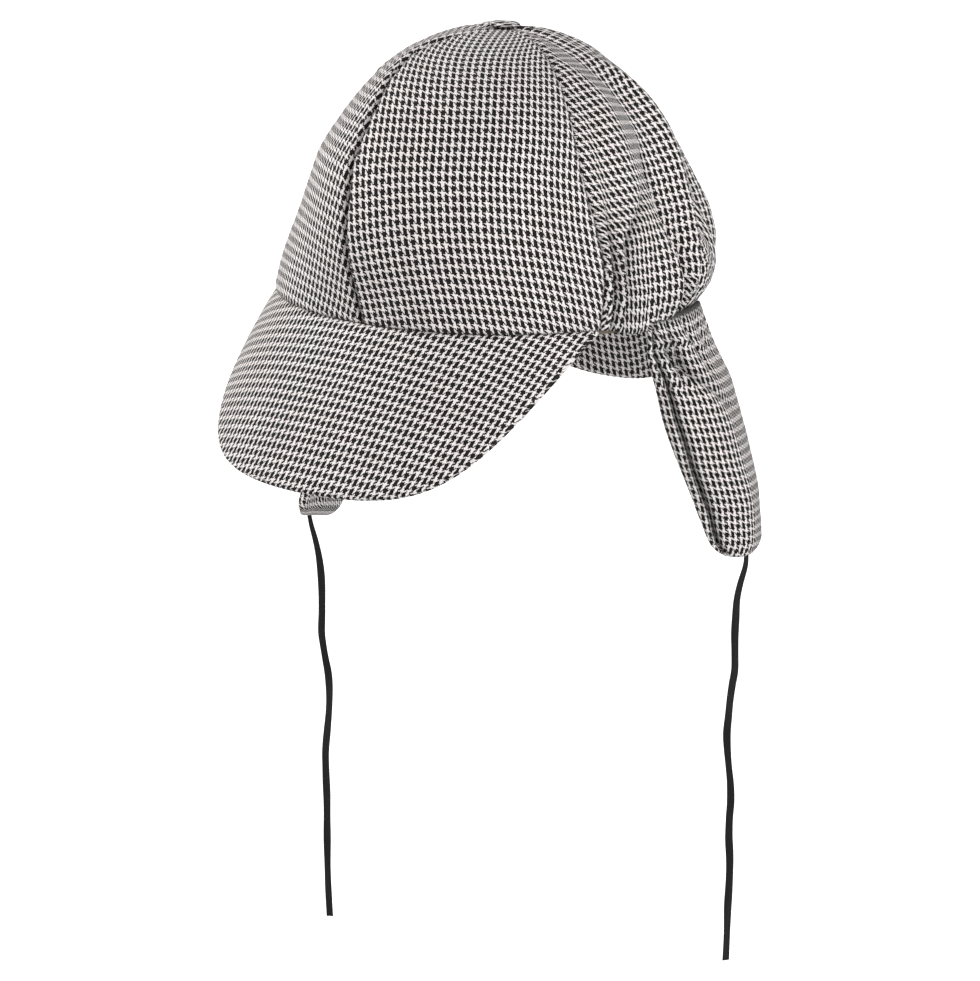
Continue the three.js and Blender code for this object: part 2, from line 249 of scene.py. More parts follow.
def makeGroup(name, inputs, outputs):
    group = bpy.data.node_groups.new(name, "ShaderNodeTree")
    for label, kind, value in inputs:
        socket = group.interface.new_socket(label, in_out="INPUT", socket_type=kind)
        if value is not None:
            socket.default_value = value
    for label, kind in outputs:
        group.interface.new_socket(label, in_out="OUTPUT", socket_type=kind)
    kit = NodeKit(group)
    return group, kit, kit.new("NodeGroupInput"), kit.new("NodeGroupOutput")


def makeHoundstoothGroup():
    # Three dark and three light threads across, four and four up, woven two over and two under.
    # Light says where a light thread is on top, Height is the roundness of the thread on top and
    # Shade varies from thread to thread. The dark threads are a little thicker, and Warp Cover is
    # how many of every four weft threads an upright thread hides.
    group, kit, start, end = makeGroup(
        "houndstoothWeave",
        [("Cloth", "NodeSocketVector", None), ("Repeat Width", "NodeSocketFloat", 3.0),
         ("Repeat Height", "NodeSocketFloat", 4.2), ("Unevenness", "NodeSocketFloat", 0.2),
         ("Thickening", "NodeSocketFloat", 0.04), ("Warp Cover", "NodeSocketFloat", 2.0)],
        [("Light", "NodeSocketFloat"), ("Height", "NodeSocketFloat"), ("Shade", "NodeSocketFloat")],
    )
    acrossThreads, upThreads, weaveRepeat = 6.0, 8.0, 4.0
    cloth = start.outputs["Cloth"]
    axes = kit.split(cloth)

    def threadPlace(axis, repeat, threads, noiseScale):
        # place in threads: the repeats passed, slowed in the dark half and hastened in the light
        wander = kit.math("MULTIPLY", kit.math("SUBTRACT", kit.noise(cloth, noiseScale, 1.0), 0.5),
                          start.outputs["Unevenness"])
        passed = kit.math("DIVIDE", kit.math("ADD", axes[axis], wander), repeat)
        slow = kit.math("SUBTRACT", 1.0, kit.math("COSINE", kit.math("MULTIPLY", passed, math.tau)))
        shift = kit.math("MULTIPLY", kit.math("MULTIPLY", slow, 0.5), start.outputs["Thickening"])
        return kit.math("MULTIPLY", kit.math("SUBTRACT", passed, shift), threads)

    across = threadPlace(0, start.outputs["Repeat Width"], acrossThreads, 0.35)
    up = threadPlace(1, start.outputs["Repeat Height"], upThreads, 0.23)
    warp, weft = kit.math("FLOOR", across), kit.math("FLOOR", up)

    def isLight(thread, threads):
        return kit.math("GREATER_THAN", kit.math("FLOORED_MODULO", thread, threads), threads / 2 - 0.5)

    warpLight, weftLight = isLight(warp, acrossThreads), isLight(weft, upThreads)
    turn = kit.math("FLOORED_MODULO", kit.math("ADD", warp, up), weaveRepeat)
    warpOver = kit.math("LESS_THAN", turn, start.outputs["Warp Cover"])
    weftOver = kit.math("SUBTRACT", 1.0, warpOver)
    light = kit.math("ADD", kit.math("MULTIPLY", warpOver, warpLight),
                     kit.math("MULTIPLY", weftOver, weftLight))

    def roundness(value):
        middle = kit.math("SUBTRACT", kit.math("MULTIPLY", kit.math("FRACT", value), 2.0), 1.0)
        return kit.math("SUBTRACT", 1.0, kit.math("MULTIPLY", middle, middle))

    height = kit.math("ADD", kit.math("MULTIPLY", warpOver, roundness(across)),
                      kit.math("MULTIPLY", weftOver, roundness(up)))

    def threadShade(value, seed):
        node = kit.new("ShaderNodeTexWhiteNoise", noise_dimensions="1D")
        kit.feed(node.inputs["W"], kit.math("ADD", value, seed))
        return node.outputs["Value"]

    shade = kit.math("ADD", kit.math("MULTIPLY", warpOver, threadShade(warp, 11.0)),
                     kit.math("MULTIPLY", weftOver, threadShade(weft, 47.0)))
    kit.feed(end.inputs["Light"], light)
    kit.feed(end.inputs["Height"], height)
    kit.feed(end.inputs["Shade"], shade)
    return group


houndstoothGroup = makeHoundstoothGroup()

# In each cloth bump is the height of its relief in metres. patchScale is per metre in the check
# cloth, and the other scales and pitches are in millimetres of the cloth.
checkCloth = {
    "repeatWidth": 2.98,
    "repeatHeight": 4.2,
    "unevenness": 0.5,
    "thickening": 0.075,
    "warpCover": 2.55,
    "dark": (0.0095, 0.0066, 0.0064, 1),
    "light": (0.87, 0.84, 0.83, 1),
    "warmPatch": (0.84, 0.775, 0.755, 1),
    "patchScale": 22.0,
    "threadShade": 0.16,
    "fibreScale": 5.0,
    "fibreRelief": 0.6,
    "bump": 0.00012,
    "bumpStrength": 0.6,
    "roughness": 0.88,
    "specular": 0.25,
    "sheen": 0.04,
    "sheenRoughness": 0.5,
}


def startMaterial(name, values):
    # a cloth material with its steady finish set, and its own cloth coordinates to draw on
    material = bpy.data.materials.new(name)
    material.use_nodes = True
    kit = NodeKit(material.node_tree)
    shader = material.node_tree.nodes["Principled BSDF"]
    shader.inputs["Roughness"].default_value = values["roughness"]
    shader.inputs["Specular IOR Level"].default_value = values["specular"]
    shader.inputs["Sheen Weight"].default_value = values["sheen"]
    shader.inputs["Sheen Roughness"].default_value = values["sheenRoughness"]
    cloth = kit.new("ShaderNodeUVMap", uv_map="cloth").outputs[0]
    return material, kit, shader, cloth


def addBump(kit, shader, height, values):
    bump = kit.new("ShaderNodeBump")
    bump.inputs["Strength"].default_value = values["bumpStrength"]
    bump.inputs["Distance"].default_value = values["bump"]
    kit.feed(bump.inputs["Height"], height)
    kit.feed(shader.inputs["Normal"], bump.outputs[0])


def makeCheckCloth(name, values):
    # the weave's light threads turn slowly between two tones, every thread has its own tone, and
    # cloth deep in a fold or a seam is painted darker, by the painted shade each piece carries
    material, kit, shader, cloth = startMaterial(name, values)
    place = kit.new("ShaderNodeTexCoord").outputs["Object"]
    weave = kit.new("ShaderNodeGroup")
    weave.node_tree = houndstoothGroup
    kit.feed(weave.inputs["Cloth"], cloth)
    for label, key in (("Repeat Width", "repeatWidth"), ("Repeat Height", "repeatHeight"),
                       ("Unevenness", "unevenness"), ("Thickening", "thickening"),
                       ("Warp Cover", "warpCover")):
        weave.inputs[label].default_value = values[key]
    pale = kit.blend(kit.noise(place, values["patchScale"]), values["light"], values["warmPatch"])
    fibres = kit.noise(cloth, values["fibreScale"], 2.0, 0.6)
    shade = kit.math("ADD", 1.0 - values["threadShade"] * 0.75,
                     kit.math("MULTIPLY", values["threadShade"],
                              kit.math("ADD", weave.outputs["Shade"], kit.math("SUBTRACT", fibres, 0.5))))
    # painted shade: the piece's shade attribute darkens the cloth in its folds, seams and flap ends
    deep = kit.new("ShaderNodeAttribute", attribute_name="shade").outputs["Fac"]
    shade = kit.math("MULTIPLY", shade, kit.math("SUBTRACT", 1.0, deep))
    bare = kit.blend(weave.outputs["Light"], values["dark"], pale)
    grey = kit.new("ShaderNodeCombineColor")
    for socket in grey.inputs:
        kit.feed(socket, shade)
    colour = kit.blend(1.0, bare, grey.outputs[0], "MULTIPLY")
    kit.feed(shader.inputs["Base Color"], colour)
    fluff = kit.math("MULTIPLY", fibres, values["fibreRelief"])
    addBump(kit, shader, kit.math("ADD", weave.outputs["Height"], fluff), values)
    return material


bandCloth = {
    "pitch": 0.7,
    "dark": (0.120, 0.098, 0.068, 1),
    "light": (0.205, 0.172, 0.128, 1),
    "ribs": 0.35,
    "threads": 0.15,
    "threadsPerRib": 1.7,
    "patchScale": 0.12,
    "bump": 0.0001,
    "bumpStrength": 0.5,
    "roughness": 0.82,
    "specular": 0.5,
    "sheen": 0.15,
    "sheenRoughness": 0.5,
}


def makeBandCloth(name, values):
    # plain taupe twill: fine slanting ribs with a little unevenness
    material, kit, shader, cloth = startMaterial(name, values)
    across, up = kit.split(cloth)[:2]
    turns = math.tau / values["pitch"]
    ribs = kit.math("SINE", kit.math("MULTIPLY", kit.math("ADD", across, up), turns))
    threads = kit.math("SINE", kit.math("MULTIPLY", across, turns * values["threadsPerRib"]))
    relief = kit.math("ADD", kit.math("MULTIPLY", ribs, values["ribs"]),
                      kit.math("MULTIPLY", threads, values["threads"]))
    patches = kit.noise(cloth, values["patchScale"], 3.0)
    tone = kit.math("ADD", kit.math("ADD", 0.5, relief), kit.math("SUBTRACT", patches, 0.5))
    kit.feed(shader.inputs["Base Color"], kit.blend(tone, values["dark"], values["light"]))
    addBump(kit, shader, relief, values)
    return material


ribbonCloth = {
    "pitch": 0.34,
    "colour": (0.004, 0.0038, 0.0038, 1),
    "worn": (0.009, 0.0085, 0.0085, 1),
    "wear": 0.7,
    "wearScale": 0.5,
    "bump": 0.00006,
    "bumpStrength": 0.5,
    "roughness": 0.6,
    "specular": 0.25,
    "sheen": 0.02,
    "sheenRoughness": 0.5,
}


def makeRibbonCloth(name, values):
    # black ribbon with fine ribs across it and paler worn patches
    material, kit, shader, cloth = startMaterial(name, values)
    up = kit.split(cloth)[1]
    ribs = kit.math("SINE", kit.math("MULTIPLY", up, math.tau / values["pitch"]))
    worn = kit.math("MULTIPLY", kit.noise(cloth, values["wearScale"], 3.0), values["wear"])
    kit.feed(shader.inputs["Base Color"], kit.blend(worn, values["colour"], values["worn"]))
    addBump(kit, shader, ribs, values)
    return material


checkMaterial = makeCheckCloth("houndstoothCloth", checkCloth)
bandMaterial = makeBandCloth("taupeBand", bandCloth)
ribbonMaterial = makeRibbonCloth("blackRibbon", ribbonCloth)
print("materials made")


# Ties.
# turns is how far each ribbon turns about its route, in radians, and the lengths called pitch are
# those over which it turns, widens and cups. The routes run from the flap to the cut end, and
# they alone are in metres.
ties = {
    "width": 3.4,
    "thickness": 0.7,
    "turns": {"left": 0.35, "right": -0.3},
    "turnPitch": (23, 9.5),
    "quickTurn": 0.6,
    "edgeRound": 0.5,
    "faceRound": 0.7,
    "pinch": 0.4,
    "pinchLength": 14,
    "uneven": 0.04,
    "unevenPitch": 4.1,
    "cup": 0.22,
    "cupPitch": 17,
    "rows": 170,
    "around": 16,
    "leftRoute": [
        (0.104, 0.0497, -0.1084), (0.104, 0.0492, -0.1145), (0.104, 0.0458, -0.1215),
        (0.1044, 0.043, -0.128), (0.1046, 0.0424, -0.136), (0.1043, 0.0429, -0.144),
        (0.104, 0.0442, -0.152), (0.104, 0.0448, -0.16), (0.1042, 0.043, -0.166),
        (0.1044, 0.0414, -0.1725), (0.1044, 0.0406, -0.18), (0.104, 0.0407, -0.1875),
        (0.104, 0.0418, -0.195), (0.1042, 0.0434, -0.203), (0.1044, 0.0451, -0.211),
        (0.1043, 0.0462, -0.2195), (0.104, 0.0463, -0.2275), (0.104, 0.0466, -0.236),
        (0.1042, 0.0474, -0.243), (0.1043, 0.048, -0.2495), (0.1042, 0.0484, -0.259),
        (0.104, 0.0486, -0.2685), (0.104, 0.0489, -0.277), (0.104, 0.049, -0.285),
        (0.104, 0.0489, -0.2936),
    ],
    "rightRoute": [
        (-0.104, 0.0157, -0.1218), (-0.104, 0.0176, -0.127), (-0.104, 0.0209, -0.1345),
        (-0.1043, 0.0242, -0.143), (-0.1044, 0.0261, -0.151), (-0.1042, 0.0268, -0.159),
        (-0.104, 0.027, -0.1695), (-0.104, 0.0271, -0.1785), (-0.1042, 0.029, -0.1855),
        (-0.1044, 0.0314, -0.1925), (-0.1043, 0.0335, -0.1995), (-0.104, 0.0343, -0.2075),
        (-0.104, 0.0344, -0.2165), (-0.1042, 0.0338, -0.2265), (-0.1043, 0.0331, -0.237),
        (-0.1041, 0.0337, -0.2485), (-0.104, 0.0348, -0.2605), (-0.1041, 0.0357, -0.276),
        (-0.1042, 0.0364, -0.2865), (-0.1041, 0.0371, -0.297), (-0.104, 0.0382, -0.3075),
        (-0.104, 0.0396, -0.318),
    ],
}


def makeTie(side, node):
    # A flat section carried along the smooth route. Its width turns slowly about the route, so
    # the ribbon shows now its face and now its edge, and it is pinched where it leaves the flap.
    route = np.array(ties[f"{side}Route"]) / mm
    t = np.linspace(0, 1, ties["rows"])
    path = np.stack([along(route[:, axis], t) for axis in range(3)], -1)
    ahead = np.gradient(path, axis=0)
    ahead /= np.linalg.norm(ahead, axis=1)[:, None]
    travelled = arcs(path, 0)
    slow, quick = (travelled / pitch for pitch in ties["turnPitch"])
    turn = ties["turns"][side] * (np.sin(slow) + ties["quickTurn"] * np.sin(quick + 1))
    facing = np.radians(photoView["azimuth"]) + turn
    across = np.stack([np.cos(facing), np.sin(facing), np.zeros_like(turn)], -1)
    across -= ahead * np.einsum("ij,ij->i", across, ahead)[:, None]
    across /= np.linalg.norm(across, axis=1)[:, None]
    normal = np.cross(ahead, across)
    around = np.linspace(0, math.tau, ties["around"], endpoint=False)
    flat = np.sign(np.cos(around)) * np.abs(np.cos(around)) ** ties["edgeRound"]
    bulge = np.sign(np.sin(around)) * np.abs(np.sin(around)) ** ties["faceRound"]
    pinch = ties["pinch"] * bell(travelled / ties["pinchLength"])
    uneven = ties["uneven"] * np.sin(travelled / ties["unevenPitch"])
    width = ties["width"] / 2 * (1 - pinch + uneven)
    cup = ties["cup"] * np.sin(travelled / ties["cupPitch"] + 2)
    section = (across[:, None] * (flat * width[:, None])[..., None]
               + normal[:, None] * ((bulge * ties["thickness"] / 2)
                                    + cup[:, None] * (flat**2))[..., None])
    uv = np.stack(np.broadcast_arrays(
        np.append(flat, flat[0]) * ties["width"] / 2, travelled[:, None]), -1)
    piece = makeMesh(node + "_ribbon", path[:, None] + section, uv, closed=True, caps=True,
                     inside=path[len(path) // 2])
    settle(piece, node, ribbonMaterial)


makeTie("left", "tie_left")
makeTie("right", "tie_right")
print("ties made")


# Crown.
# height to lean have one value per level up the crown: how far it reaches to the front, back and
# side from the middle of the hat, and how far it leans towards the wearer's left. The Seam columns
# are the angle of each seam at the same levels.
crown = {
    "squareness": 2.1,
    "apexBack": 4,
    "height": [0, 14, 30, 47, 63, 77, 89, 98.5, 105.5, 110, 111.5],
    "front": [96, 97, 97.5, 96, 92.5, 84.5, 74.5, 62, 45.5, 23, -4],
    "back": [96, 102, 99.5, 92, 82, 70.5, 58.5, 46, 36, 23, 4],
    "side": [87, 85.5, 80.5, 74.5, 68.5, 61, 52, 41.5, 29.5, 16.5, 0],
    "lean": [0, 2.5, 5, 6, 6, 6, 5.5, 4.5, 3, 1.5, 0],
    "middleSeam": [1, -2.5, -5.5, -7.5, -9.5, -11, -13.5, -19, -26, -28, -28],
    "sideSeam": [67.5, 67.5, 68, 67, 66, 66, 67, 69, 72, 74, 75],
    "rearSeam": [102, 102.5, 105, 110, 116, 121, 124, 125, 126, 127, 128],
    "top": 0.978,
    "seamGap": 0.06,
    "thickness": 1.8,
    "seamRidge": {"rise": 7, "start": 40, "width": 20},
    "foldAtSeam": 0.35,
    "foldReach": 3,
    "seamEase": 0.5,
    "seamDepth": {"middle": 3.4, "side": 1.1, "rear": 2.0, "back": 1.4},
    "seamWidth": {"middle": 0.8, "side": 0.8, "rear": 1.1, "back": 1.0},
    # foldShade and seamShade are painted shade: how much darker the cloth is painted in a narrow fold at
    # full depth, and per millimetre that a seam is sunk
    "foldShade": 0.62,
    "seamShade": 0.17,
    "hemDepth": 0.7,
    "hemWidth": 1.0,
    "hemLap": 0.3,
    "lapHeight": 4,
    "hemStart": 14,
    "topStart": 0.2,
    "foldFoot": 14,
    "waist": 45,
    "head": 88,
}
# What the cloth does over the folds: the allowance that stands up beside a seam, the pucker of its
# stitches, and the slow sag and fine ripple of the cloth in between. A narrow fold as deep as
# foldDeep gets the full painted shade.
surface = {
    "allowance": {"rise": 0.35, "at": 3.6, "width": 2.2},
    "pucker": {"rise": 0.22, "width": 5, "size": 7, "seed": 3, "start": 8},
    "sag": {"rise": 0.45, "size": 42, "stretch": 0.5},
    "ripple": {"rise": 0.10, "size": 11, "seed": 5},
    "foldDeep": 7,
}
# Where the hem rises to show the sweatband, and where it hangs lower at the root of a flap.
hem = {"arch": {"angle": 118, "width": 5.5, "rise": 9}, "drop": {"angle": 81, "width": 9, "rise": -4.6}}

# Folds and gathers of the left half. Each fold is a line up the crown: angle and lift are its
# place and its height over the cloth at the levels in foldLevels, fore and aft how wide it is
# on either side of the line, in degrees. One narrower than sharp comes to an edge. The right half
# has the same folds, a little off.
foldLevels = [0, 10, 22, 35, 50, 70, 90, 104]
folds = [
    {"name": "slit lip", "angle": [69.4, 69.4, 69.5, 69.6, 69.6, 69.5, 69.5, 69.5],
     "lift": [0.6, 1.5, 1.8, 1.2, 0.3, 0, 0, 0], "fore": 2.2, "aft": 0.9},
    {"name": "slit", "angle": [71.6, 71.3, 71.4, 71.3, 71.2, 71, 71, 71],
     "lift": [-3.0, -6.6, -7.6, -5.4, -0.8, 0, 0, 0], "fore": 0.85, "aft": 0.75},
    {"name": "slit shoulder", "angle": [73.6, 73.3, 73.4, 73.6, 74, 75, 75, 75],
     "lift": [0.8, 1.5, 1.6, 1.0, 0, 0, 0, 0], "fore": 0.8, "aft": 0.9},
    {"name": "branch valley", "angle": [75.8, 75.6, 75.4, 76.4, 82, 88, 88, 88],
     "lift": [-2.4, -5.0, -5.8, -5.2, -2.4, 0, 0, 0], "fore": 0.9, "aft": 1.4},
    {"name": "upper ridge", "angle": [78, 78, 78, 78, 78.6, 80, 79, 74.5],
     "lift": [0, 0, 0, 1.0, 3.6, 5.0, 4.4, 1.4], "fore": 7.5, "aft": 8.2},
    {"name": "side puff", "angle": [93, 91.6, 89.6, 86.4, 85.4, 86, 86, 86],
     "lift": [2.4, 6.4, 8.2, 7.0, 3.0, 0, 0, 0], "fore": 7.6, "aft": 1.5},
    {"name": "long valley", "angle": [98, 96, 93, 89.5, 88.8, 90.1, 90.5, 87],
     "lift": [-4.4, -8.0, -9.4, -8.6, -5.6, -1.6, -0.8, -0.4], "fore": 1.4, "aft": 1.9},
    {"name": "rear puff", "angle": [101, 101, 100.6, 100.6, 101.5, 103, 104, 101],
     "lift": [1.8, 4.8, 6.0, 4.4, 1.0, 0, 0, 0], "fore": 4.4, "aft": 1.3},
    {"name": "rear ridge", "angle": [101, 101, 101, 101, 102, 104, 104.5, 100],
     "lift": [0, 0, 0.6, 2.8, 6.0, 6.8, 5.2, 1.4], "fore": 6.0, "aft": 8.0},
    {"name": "seam tuck", "angle": [103.2, 103.4, 104.6, 107.2, 111, 118, 124, 126],
     "lift": [-3.0, -6.2, -7.0, -5.6, -2.8, -0.8, 0, 0], "fore": 1.1, "aft": 1.7},
    {"name": "rear flat", "angle": [122, 122, 122, 122, 122, 122, 120, 116],
     "lift": [0, -0.8, -3.2, -6.6, -8.6, -8.4, -3.0, 1.8], "fore": 9, "aft": 11},
    {"name": "back puff 1", "angle": [112, 114.5, 116, 116.5, 117, 120, 124, 126],
     "lift": [1.0, 3.2, 3.0, 0.4, -0.8, 0, 0, 0], "fore": 6.0, "aft": 2.8},
    {"name": "back tuck 1", "angle": [118, 119.6, 121, 122, 123, 125, 127, 128],
     "lift": [-1.6, -3.2, -3.0, -1.8, -0.4, 0, 0, 0], "fore": 1.7, "aft": 1.5},
    {"name": "back puff 2", "angle": [124, 125.5, 126.5, 127, 128, 130, 131, 132],
     "lift": [1.0, 2.8, 3.4, 2.6, 0.8, 0, 0, 0], "fore": 3.4, "aft": 3.0},
    {"name": "back tuck 2", "angle": [131, 132, 133, 134, 135, 137, 139, 140],
     "lift": [-1.8, -3.4, -3.6, -2.6, -1.0, -0.3, 0, 0], "fore": 1.6, "aft": 1.6},
    {"name": "back puff 3", "angle": [137, 138, 139.5, 140.5, 141, 143, 144, 145],
     "lift": [1.0, 3.0, 3.8, 3.0, 1.2, 0.3, 0, 0], "fore": 3.4, "aft": 3.2},
    {"name": "back tuck 3", "angle": [144, 145, 146, 146.5, 147, 148, 149, 150],
     "lift": [-1.8, -3.2, -3.0, -1.6, -0.3, 0, 0, 0], "fore": 1.6, "aft": 1.5},
    {"name": "back puff 4", "angle": [149.5, 150.5, 152, 153, 154, 155, 156, 157],
     "lift": [1.0, 2.6, 3.2, 2.4, 0.8, 0, 0, 0], "fore": 3.2, "aft": 3.0},
    {"name": "back tuck 4", "angle": [156, 157, 158, 159, 160, 161, 162, 163],
     "lift": [-1.8, -3.4, -3.6, -2.8, -1.4, -0.4, 0, 0], "fore": 1.6, "aft": 1.6},
    {"name": "back puff 5", "angle": [162, 163, 164, 165, 165.5, 166, 167, 168],
     "lift": [1.0, 2.8, 3.4, 2.6, 1.0, 0.2, 0, 0], "fore": 3.2, "aft": 3.0},
    {"name": "back tuck 5", "angle": [168.5, 169.5, 170.5, 171, 171.5, 172, 172, 172],
     "lift": [-1.6, -3.0, -3.0, -1.8, -0.6, 0, 0, 0], "fore": 1.5, "aft": 1.5},
    {"name": "back puff 6", "angle": [175, 175.5, 176, 176, 176, 176, 176, 176],
     "lift": [0.8, 2.2, 2.8, 2.0, 0.6, 0, 0, 0], "fore": 2.8, "aft": 2.6},
]
sharp = 2
rightFolds = {"shift": 1.3, "pitch": 9, "share": 0.88}

# Bands where the cloth is drawn together across its upright threads: angle and cloth are the
# middle of the band and the millimetres of cloth taken up in it at the levels in foldLevels. Two
# of them follow a fold's own line.
foldLine = {fold["name"]: fold["angle"] for fold in folds}
gathers = [
    {"name": "left fold", "angle": [78, 78, 78, 79.5, 83.5, 85, 85.5, 81],
     "cloth": [8, 8, 8, 9, 11, 12, 12, 10], "width": 5},
    {"name": "right fold", "angle": [-78, -78, -78, -79.5, -83.5, -85, -85.5, -81],
     "cloth": [7, 7, 7, 8, 10, 11, 11, 9], "width": 5},
    {"name": "slit", "angle": foldLine["slit"],
     "cloth": [5, 5, 5, 4, 3, 2, 1, 0], "width": 1.4},
    {"name": "long valley", "angle": foldLine["long valley"],
     "cloth": [6, 6, 6, 6, 5, 4, 3, 2], "width": 2.2},
    {"name": "front turn", "angle": [-46, -46, -46, -46, -47, -48, -50, -52],
     "cloth": [14, 15, 16, 17, 18, 17, 14, 10], "width": 14},
]


def crownBase(angle, t):
    # a squarish oval at every level: front and back reach differ, and levels lean and step back
    turn = np.radians(angle)
    m = crown["squareness"]
    radius = (np.abs(np.cos(turn)) ** m + np.abs(np.sin(turn)) ** m) ** (-1 / m)
    forward, sideways = np.cos(turn) * radius, np.sin(turn) * radius
    middle = crown["apexBack"] * t
    reach = np.where(forward > 0, -(along(crown["front"], t) + middle) * forward,
                     -(along(crown["back"], t) - middle) * forward)
    x = along(crown["lean"], t) + along(crown["side"], t) * sideways
    return np.stack([x, middle + reach, along(crown["height"], t) + 0 * turn], -1)


def crownFacing(angle, t):
    # away from the crown without its folds, and level at the opening
    low = np.clip(t, 0.01, 0.97)
    around = crownBase(angle + 1, low) - crownBase(angle - 1, low)
    rise = crownBase(angle, low + 0.01) - crownBase(angle, low - 0.01)
    facing = np.cross(around, rise)
    facing /= np.linalg.norm(facing, axis=-1)[..., None]
    facing[..., 2] *= smooth(along(crown["height"], t) / crown["foldFoot"])
    return facing / np.linalg.norm(facing, axis=-1)[..., None]


def foldLift(angle, t):
    # sum of the folds, each with its own width on either side of a wandering line, and the ridge
    # along the front seam. deep is the depth of the narrow folds alone.
    height = along(crown["height"], t)
    right = angle < 0
    shift = rightFolds["shift"] * right
    half = np.abs(angle) + shift * np.sin(np.abs(angle) / rightFolds["pitch"])
    place = np.interp(height, foldLevels, np.linspace(0, 1, len(foldLevels)))
    lift = np.zeros(np.broadcast(angle, t).shape)
    deep = lift
    for fold in folds:
        away = half - along(fold["angle"], place)
        width = np.where(away < 0, fold["fore"], fold["aft"])
        narrow = fold["fore"] < sharp
        part = along(fold["lift"], place) * (crease if narrow else bell)(away / width)
        lift = lift + part
        deep = deep + np.maximum(-part, 0) * narrow
    lift = lift * np.where(right, rightFolds["share"], 1)
    ridge, away = crown["seamRidge"], angle - along(crown["middleSeam"], t)
    risen = ridge["rise"] * smooth(height / ridge["start"]) * (1 - t) * bell(away / ridge["width"])
    return lift + risen, deep


# Small creases of the cloth alone, a column each: angle at the hem, the waist and the head, width
# in degrees, lift, and the height where the crease dies out.
creases = {
    "foot": [73.2, 77.5, 80.5, 87, 91.5, 94.6, 106, 108.6, 115.5, 123, 131, 139.5, 147.5, 155.5, 163, 170.5],
    "waist": [73.5, 77.5, 81.5, 87, 90.5, 95.5, 106.5, 111, 117.5, 125, 133, 141, 149, 156.5, 164, 171],
    "head": [74, 80, 84, 88, 91, 97, 108, 114, 120, 128, 136, 143, 151, 158, 165, 171],
    "width": [0.9, 0.8, 1.0, 1.1, 0.9, 0.9, 0.9, 0.9, 1.0, 1.0, 0.9, 1.0, 0.9, 1.0, 0.9, 1.0],
    "lift": [0.9, -0.7, 0.6, -0.8, 0.7, -0.8, 0.7, -0.8, 0.7, 0.6, -0.7, 0.7, -0.6, 0.7, -0.6, 0.6],
    "top": [40, 34, 42, 36, 58, 52, 40, 30, 36, 30, 34, 28, 36, 30, 38, 30],
}
creaseFade = {"foot": -2, "below": 6, "above": 18}


def creaseLift(angle, t):
    height = along(crown["height"], t)
    half = np.abs(angle)
    lift = np.zeros(np.broadcast(angle, t).shape)
    for low, waist, head, width, rise, top in zip(*creases.values()):
        lower = mix(low, waist, smooth(height / crown["waist"]))
        upper = mix(waist, head, smooth((height - crown["waist"]) / (crown["head"] - crown["waist"])))
        line = np.where(height < crown["waist"], lower, upper)
        fade = smooth((height - creaseFade["foot"]) / creaseFade["below"])
        fade = fade * smooth((top - height) / creaseFade["above"])
        lift = lift + rise * fade * bell((half - line) / width)
    return lift


def seamAngle(name, t):
    # angle of a seam up the crown; the right half mirrors the left, leaning with the middle seam
    middle = along(crown["middleSeam"], t)
    side, rear = along(crown["sideSeam"], t), along(crown["rearSeam"], t)
    return {"middle": middle, "side": side, "rear": rear, "back": 180 + 0 * t,
            "sideRight": middle / 2 - side, "rearRight": -rear, "backRight": -180 + 0 * t}[name]


def hemRise(angle, kind):
    return hem[kind]["rise"] * bell((np.abs(angle) - hem[kind]["angle"]) / hem[kind]["width"])


def hemShare(angle):
    return hemRise(angle, "arch") / crown["height"][1] / (len(crown["height"]) - 1)


# Grain of each panel's cloth: the angle of its middle thread, how much the upright threads lean
# and the level threads tilt, how far the foot of the middle thread is pulled aside over the
# lowest pull height, how much the level threads arch away from the middle, where on the cloth the
# panel is cut, and the seed of its sag.
grains = {
    "crown_panel_front_left": {"middle": 33, "lean": 0, "tilt": 0, "pull": 9, "arch": 0.0028,
                               "cut": 268.62, "seed": 22},
    "crown_panel_side_left": {"middle": 84, "lean": 0.26, "tilt": 0.03, "pull": 0, "arch": 0.0007,
                              "cut": 652.68, "seed": 21},
    "crown_panel_back_left": {"middle": 140, "lean": -0.14, "tilt": -0.14, "pull": 0, "arch": 0.002,
                              "cut": 1087.8, "seed": 21},
    "crown_panel_front_right": {"middle": -33, "lean": 0, "tilt": 0, "pull": -4, "arch": 0.0028,
                                "cut": -280.83, "seed": 23},
    "crown_panel_side_right": {"middle": -84, "lean": -0.26, "tilt": -0.03, "pull": 0, "arch": 0.0007,
                               "cut": -683.76, "seed": 22},
    "crown_panel_back_right": {"middle": -140, "lean": 0.14, "tilt": 0.14, "pull": 0, "arch": 0.002,
                               "cut": -1139.6, "seed": 22},
}
pullHeight = 48

# Rows and column spacing of each panel's grid, and how much its columns crowd towards the seams.
fineness = {
    "front": {"rows": 150, "spacing": 0.9, "gather": 0.55},
    "side": {"rows": 200, "spacing": 0.5, "gather": 0.2},
    "back": {"rows": 150, "spacing": 0.9, "gather": 0.2},
}


